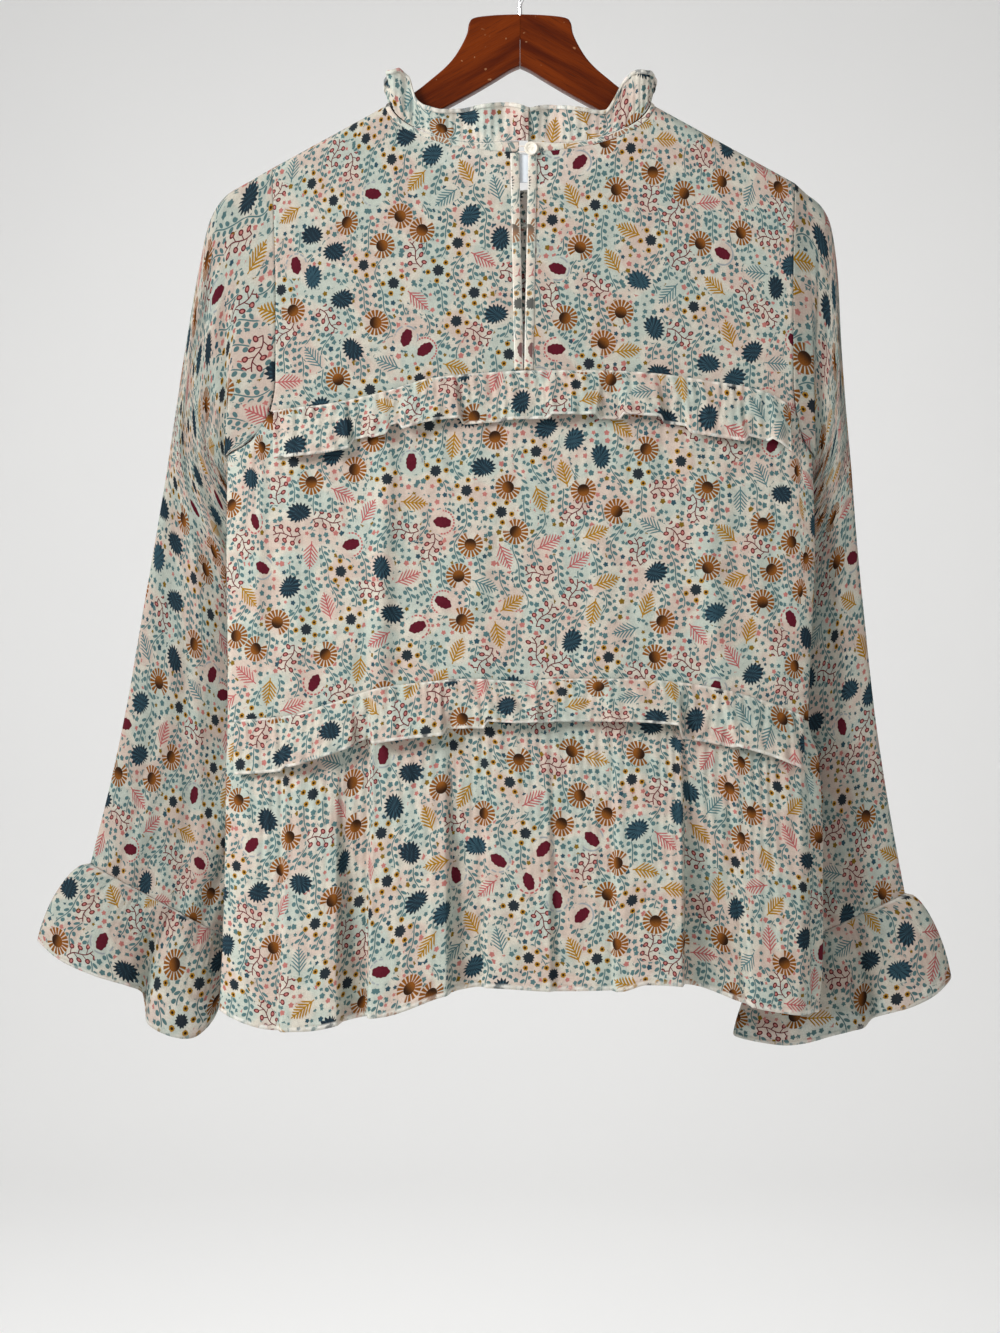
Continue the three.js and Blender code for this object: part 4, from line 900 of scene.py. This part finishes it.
def bandPlace(u, v):
    point, out, way, top, foot, tall, seam, collarTall = neckAt(ringTotal * u)
    return point + way * (foot + (1 - v) * tall) + out * band["bulge"] * math.sin(math.pi * v)


piece = clothPiece("neckBand", (band["columns"], band["rows"]), bandPlace, head=0.9, wall=0.9)
finishCloth(piece, ["neck_band"], trimMaterial)

# the collar: a gathered strip that stands up from the band, its left end over its right one
collar = {
    "columns": 620, "rows": 26, "flare": 3, "wave": 3, "waves": 14, "overlap": 9, "lap": 2.8, "corner": 5,
}


def collarPlace(u, up):
    length = u * (ringTotal + collar["overlap"])
    point, out, way, top, foot, bandTall, seam, tall = neckAt(length)
    turn = 2 * math.pi * length / ringTotal
    wave = math.sin(collar["waves"] * turn + 1.4 * math.sin(turn * 2 + 0.7) + 0.9 * math.sin(turn * 5))
    lap = collar["lap"] * smooth((length - ringTotal + 22) / 20) * (1 - 0.25 * up)
    ends = 1 - smooth(min(u, 1 - u) * 30)
    away = collar["flare"] * up * up + collar["wave"] * wave * up ** 0.8 * (1 - 0.5 * top) + lap
    away += 0.9 * gathers(length, 0, 6.2, 21) * min(1.0, 6 * up) * (0.4 + 0.6 * math.exp(-3 * up))
    base = point + way * (foot + bandTall + seam)
    return base + out * away + Vector((0, 0, tall * up - collar["corner"] * ends * up))


piece = clothPiece("collarFrill", (collar["columns"], collar["rows"]), collarPlace, hem=3)
finishCloth(piece, ["collar"], clothMaterial)

# bindings down the slit, and the blank label inside the neck
slit = {
    "width": 6.5, "lift": 1.45, "bulge": 0.9,
    "labelLeft": -4, "labelRight": 16, "labelTall": 22, "labelDepth": 1.5,
}
for side, end in (("left", -1), ("right", 1)):
    def place(u, v):
        z = lerp(torso["neckBack"] - 1, torso["slitFoot"] + 3, v)
        u = u if end > 0 else 1 - u
        lift = slit["lift"] + slit["bulge"] * (math.sin(math.pi * u) ** 0.5 - 1)
        return onTorso(slitEdge(z, end) + end * slit["width"] * u, z, -1, lift)

    title = side.capitalize()
    piece = clothPiece("slitBinding" + title, (12, 90), place, sides=2)
    finishCloth(piece, ["slit_binding_" + side], trimMaterial)


def labelPlace(u, v):
    x = lerp(slit["labelLeft"], slit["labelRight"], u)
    return onTorso(x, torso["neckBack"] - 1 - slit["labelTall"] * v, -1, -slit["labelDepth"])


piece = clothPiece("neckLabel", (20, 20), labelPlace)
finishCloth(piece, ["label"], labelMaterial)

# sleeves: outer edge, inner edge and half depth of each section, from the shoulder down
sleeveColumns = (
    "outX", "outZ", "outY", "inX", "inZ", "inY", "half", "bend", "square", "cap", "crease", "step",
)
sleeveLeft = [
    (-206, -188.5, 0, -224.5, -397.5, 2, 10.5, 1, 6, 1, 0.1, 0),
    (-223, -199, 0, -221.5, -404, 6, 9.5, 1, 6, 0.9, 0.1, 0),
    (-235, -217, 1, -219, -415, 12, 7, 3, 5, 0.4, 0.1, 0),
    (-244, -255, 2, -214, -432, 19, 6, 4, 4, 0.1, 0.12, 0),
    (-253, -305, 4, -199, -454, 24, 6, 3, 3.4, 0, 0.15, 0.5),
    (-262, -360, 7, -188, -485, 27, 6.5, 2, 3, 0, 0.18, 1),
    (-270, -410, 10, -183, -521, 30, 7, 1.2, 2.8, 0, 0.22, 2),
    (-280, -465, 14, -182, -561, 34, 7.5, 1, 2.6, 0, 0.3, 3),
    (-291, -525, 18, -185, -606, 38, 8, 1, 2.6, 0, 0.37, 3.5),
    (-302, -585, 22, -192, -655, 41, 8, 1, 2.6, 0, 0.46, 4),
    (-315, -645, 25, -205, -708, 42, 8.5, 1, 2.6, 0, 0.58, 4),
    (-331, -708, 27, -226, -766, 41, 9, 1, 2.6, 0, 0.68, 4),
]
sleeveRight = [
    (217, -197.5, 0, 224.5, -397.5, 2, 10.5, 1, 6, 1, 0.9, 0),
    (227, -205.5, 0, 221.5, -404, 6, 9.5, 1, 6, 0.9, 0.9, 0),
    (235, -219, 1, 219, -415, 12, 7, 3, 5, 0.4, 0.9, 0),
    (241, -255, 2, 214, -432, 19, 6, 4, 4, 0.1, 0.9, 0),
    (244, -305, 4, 198, -454, 24, 6, 3.2, 3.4, 0, 0.9, 0),
    (248, -355, 7, 182, -482, 28, 6.5, 2.1, 3, 0, 0.85, 0),
    (253, -405, 10, 169, -517, 32, 7, 1.3, 2.8, 0, 0.8, 0.5),
    (258, -460, 14, 162, -558, 36, 7.5, 1, 2.6, 0, 0.75, 1),
    (265, -525, 18, 158, -605, 41, 8, 1, 2.6, 0, 0.6, 1.5),
    (273, -592, 22, 158, -657, 44, 8, 1, 2.6, 0, 0.55, 2),
    (284, -662, 25, 165, -719, 45, 8.5, 1, 2.6, 0, 0.5, 2),
    (297, -731, 27, 186, -784, 44, 9, 1, 2.6, 0, 0.45, 2),
]
# bottom edge of each flounce: round from the outer edge, over the back, in, and back over the front
flounceLeft = [
    (-372, 27, -768), (-352, 15, -782), (-325, 10, -793), (-301, 14, -801), (-291, 25, -808),
    (-289, 27, -822), (-284, 13, -831), (-266, 8, -839), (-249, 12, -840), (-236, 24, -828),
    (-232, 38, -812), (-246, 50, -818), (-268, 43, -814), (-290, 54, -804), (-318, 46, -797),
    (-344, 54, -786), (-365, 42, -774),
]
flounceRight = [
    (333, 27, -796), (319, 15, -808), (299, 10, -817), (279, 13, -823), (272, 26, -828), (266, 27, -835),
    (255, 16, -836), (240, 22, -841), (220, 30, -848), (200, 36, -850), (168, 41, -844), (176, 54, -838),
    (202, 48, -842), (232, 58, -832), (262, 48, -826), (292, 58, -815), (320, 44, -804),
]
sleeve = {"columns": 220, "rows": 150, "flounceColumns": 300, "flounceRows": 44, "gap": 0.15}
armholeDepth = depthAt[-1](-300)


# a point on the armhole seam: round from the shoulder over the back and up the front
def armholePoint(end, u):
    side = -1 if u < 0.5 else 1
    share = 2 * u if u < 0.5 else 2 - 2 * u
    top = shoulderZ(armX[end])
    z = lerp(top, torso["underarm"], 0.5 - 0.5 * math.cos(math.pi * share))
    point = onTorso(edgeX(z, end), z, side)
    step = 3.0
    above, below = min(top, z + step), max(torso["underarm"], z - step)
    slope = Vector((above - below, 0, edgeX(below, end) - edgeX(above, end))).normalized()
    if slope.x * end < 0:
        slope.negate()
    return point, slope, side, (top - z) / (top - torso["underarm"])


def sleevePoint(end, table, u, t):
    point, way, side, across = armholePoint(end, u)
    foot = smooth((across - 0.65) / 0.25)
    start = point + way * (sleeve["gap"] + 1.2 * foot)
    row = {name: at(max(0.0, t - 1)) for name, at in table.items()}
    lens = max(0.0, 1 - abs(2 * across - 1) ** row["square"]) ** (1 / row["square"])
    cap = abs(point.y) / armholeDepth
    raised = 0.0
    if side < 0:
        raised = row["step"] * smooth((across - row["crease"]) / 0.12 + 0.5) * smooth((1 - across) / 0.15)
    bent = across ** row["bend"]
    made = Vector((
        lerp(row["outX"], row["inX"], bent),
        lerp(row["outY"], row["inY"], bent) + side * row["half"] * lerp(lens, cap, row["cap"]) - raised,
        lerp(row["outZ"], row["inZ"], across),
    ))
    calm = inset(across, 6) * clamp((t - 1) / 2)
    made.y += side * 2.4 * rumple(70 * across, 30 * t, 15, 30 + end) * calm
    made.y += side * 1.1 * gathers(90 * across, t / 12, 26, 50 + end) * calm * smooth((t - 4) / 7)
    return start.lerp(made, min(1.0, t))


def tableOf(rows):
    columns = {name: [row[n] for row in rows] for n, name in enumerate(sleeveColumns)}
    columns["order"] = list(range(len(rows)))
    return {name: curve(columns, "order", name) for name in sleeveColumns}


# a closed smooth loop through points, measured along its length
def loopThrough(points):
    count, fine = len(points), 12
    line = []
    for n in range(count):
        a, b, c, d = (points[(n + k) % count] for k in (-1, 0, 1, 2))
        for step in range(fine):
            line.append(passing(a, b, c, d, step / fine))
    line.append(line[0].copy())
    lengths = lengthsAlong(line)

    def at(share):
        return pointAlong(line, lengths, (share % 1.0) * lengths[-1])

    return at


arms = (("left", -1, sleeveLeft, flounceLeft), ("right", 1, sleeveRight, flounceRight))
for side, end, rows, hemPoints in arms:
    table = tableOf(rows)
    last = len(rows)

    def place(u, v):
        return sleevePoint(end, table, u if end < 0 else 1 - u, v * last)

    title = side.capitalize()
    piece = clothPiece("sleeve" + title, (sleeve["columns"], sleeve["rows"]), place, closed=True)
    halves = ["sleeve_%s_%s" % (side, half) for half in ("back", "front")]
    finishCloth(piece, halves, shadedSleeveMaterial)
    seamAt = loopThrough([sleevePoint(end, table, n / 48, last) for n in range(48)])
    hemLoop = loopThrough([Vector(row) for row in hemPoints])
    lean = 0.00048 * rows[-1][0]

    def flouncePlace(u, v):
        u = u if end < 0 else 1 - u
        start, finish = seamAt(u), hemLoop(u)
        spread = (smooth(v) + 2 * v) / 3
        outer = abs(2 * u - 1)
        point = Vector((
            lerp(start.x + lean, finish.x, spread ** lerp(0.85, 0.42, outer)),
            lerp(start.y, finish.y, spread ** 0.85),
            lerp(start.z - 0.4, finish.z, v),
        ))
        around = u * 260
        point.y += (0.5 * gathers(around, v, 5, 40 + end) * (0.3 + 0.7 * math.exp(-3 * v))) * clamp(8 * v)
        return point

    piece = clothPiece("flounce" + title, (sleeve["flounceColumns"], sleeve["flounceRows"]), flouncePlace,
                       hem=3, head=2, closed=True)
    finishCloth(piece, ["flounce_" + side], shadedSleeveMaterial)

metalMaterial, shade, shader = newMaterial("polishedSteel", {"Metallic": 1.0})
scuffs = shade.cloudy(objectPlace(shade), 700.0, 3.0)
feed(0.12 + scuffs * 0.16, shader, "Roughness")
feed(scuffs.rise(0.2, 0.9).mixed((0.62, 0.62, 0.63, 1), (0.8, 0.8, 0.8, 1)), shader, "Base Color")

pearlMaterial, shade, shader = newMaterial("pearlyButton", {"Coat Weight": 0.5})
swirl = shade.cloudy(objectPlace(shade), 240.0, distortion=1.5)
feed(swirl.rise(0.35, 0.7).mixed((0.80, 0.74, 0.62, 1), (0.93, 0.89, 0.82, 1)), shader, "Base Color")
feed(0.16 + swirl * 0.15, shader, "Roughness")

cordMaterial, shade, shader = newMaterial("creamCord", {"Roughness": 0.7, "Sheen Weight": 0.2})
twist = shade.cloudy(objectPlace(shade), 1800.0, 1.0)
feed(twist.mixed((0.74, 0.64, 0.56, 1), (0.88, 0.81, 0.74, 1)), shader, "Base Color")
emboss(shade, shader, twist, 0.0002, 0.6)

finishes = {"hook": metalMaterial, "button": pearlMaterial, "button_loop": cordMaterial}
for node, material in finishes.items():
    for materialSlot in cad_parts[node].material_slots:
        materialSlot.material = material
    print("finished", node)

# a pale sweep for floor and backdrop, and soft studio light
studio = {
    "floorZ": -1.5, "front": -3.9, "back": 2.4, "round": 0.9, "top": 2.8, "wide": 9.0,
    "pale": (0.9, 0.9, 0.895, 1), "shade": (0.87, 0.87, 0.87, 1),
}
paleMaterial, shade, shader = newMaterial("paleStudio", {"Roughness": 0.92})
mottle = shade.cloudy(objectPlace(shade), 1.6)
feed(mottle.mixed(studio["pale"], studio["shade"]), shader, "Base Color")
sweepMesh = bmesh.new()
bmesh.ops.create_grid(sweepMesh, x_segments=2, y_segments=120, size=1)
floorRun = studio["back"] - studio["front"]
bendRun = studio["round"] * math.pi / 2
wallRun = studio["top"] - studio["floorZ"] - studio["round"]
for v in sweepMesh.verts:
    run = (v.co.y + 1) / 2 * (floorRun + bendRun + wallRun)
    turn = clamp((run - floorRun) / bendRun) * math.pi / 2
    y = studio["front"] + min(run, floorRun) + studio["round"] * math.sin(turn)
    z = studio["floorZ"] + studio["round"] * (1 - math.cos(turn)) + max(0.0, run - floorRun - bendRun)
    v.co = (v.co.x * studio["wide"] / 2, y, z)
for face in sweepMesh.faces:
    face.smooth = True
sweep = linkedPiece("sweep", sweepMesh)
sweep.data.materials.append(paleMaterial)

# each light's place, aim, size and power
lights = [
    ("keyLight", (-1.7, -1.3, 0.35), (0, 0, -0.45), 0.7, 54),
    ("fillLight", (1.7, -1.9, -0.6), (0, 0, -0.45), 1.8, 9),
    ("wallLight", (0.0, 0.6, 1.9), (0, 3.2, -0.6), 1.8, 10),
    ("floorLight", (0.0, 1.2, 0.6), (0, 1.8, -1.5), 1.6, 14),
]
for name, place, aim, size, power in lights:
    light = bpy.data.lights.new(name, "AREA")
    light.energy, light.size = power, size
    lamp = bpy.data.objects.new(name, light)
    lamp.location = place
    lamp.rotation_euler = (Vector(aim) - Vector(place)).to_track_quat("-Z", "Y").to_euler()
    scene.collection.objects.link(lamp)
world = bpy.data.worlds.new("studio")
world.use_nodes = True
world.node_tree.nodes["Background"].inputs["Color"].default_value = (0.95, 0.94, 0.92, 1)
world.node_tree.nodes["Background"].inputs["Strength"].default_value = 0.42
scene.world = world
print("made the studio")
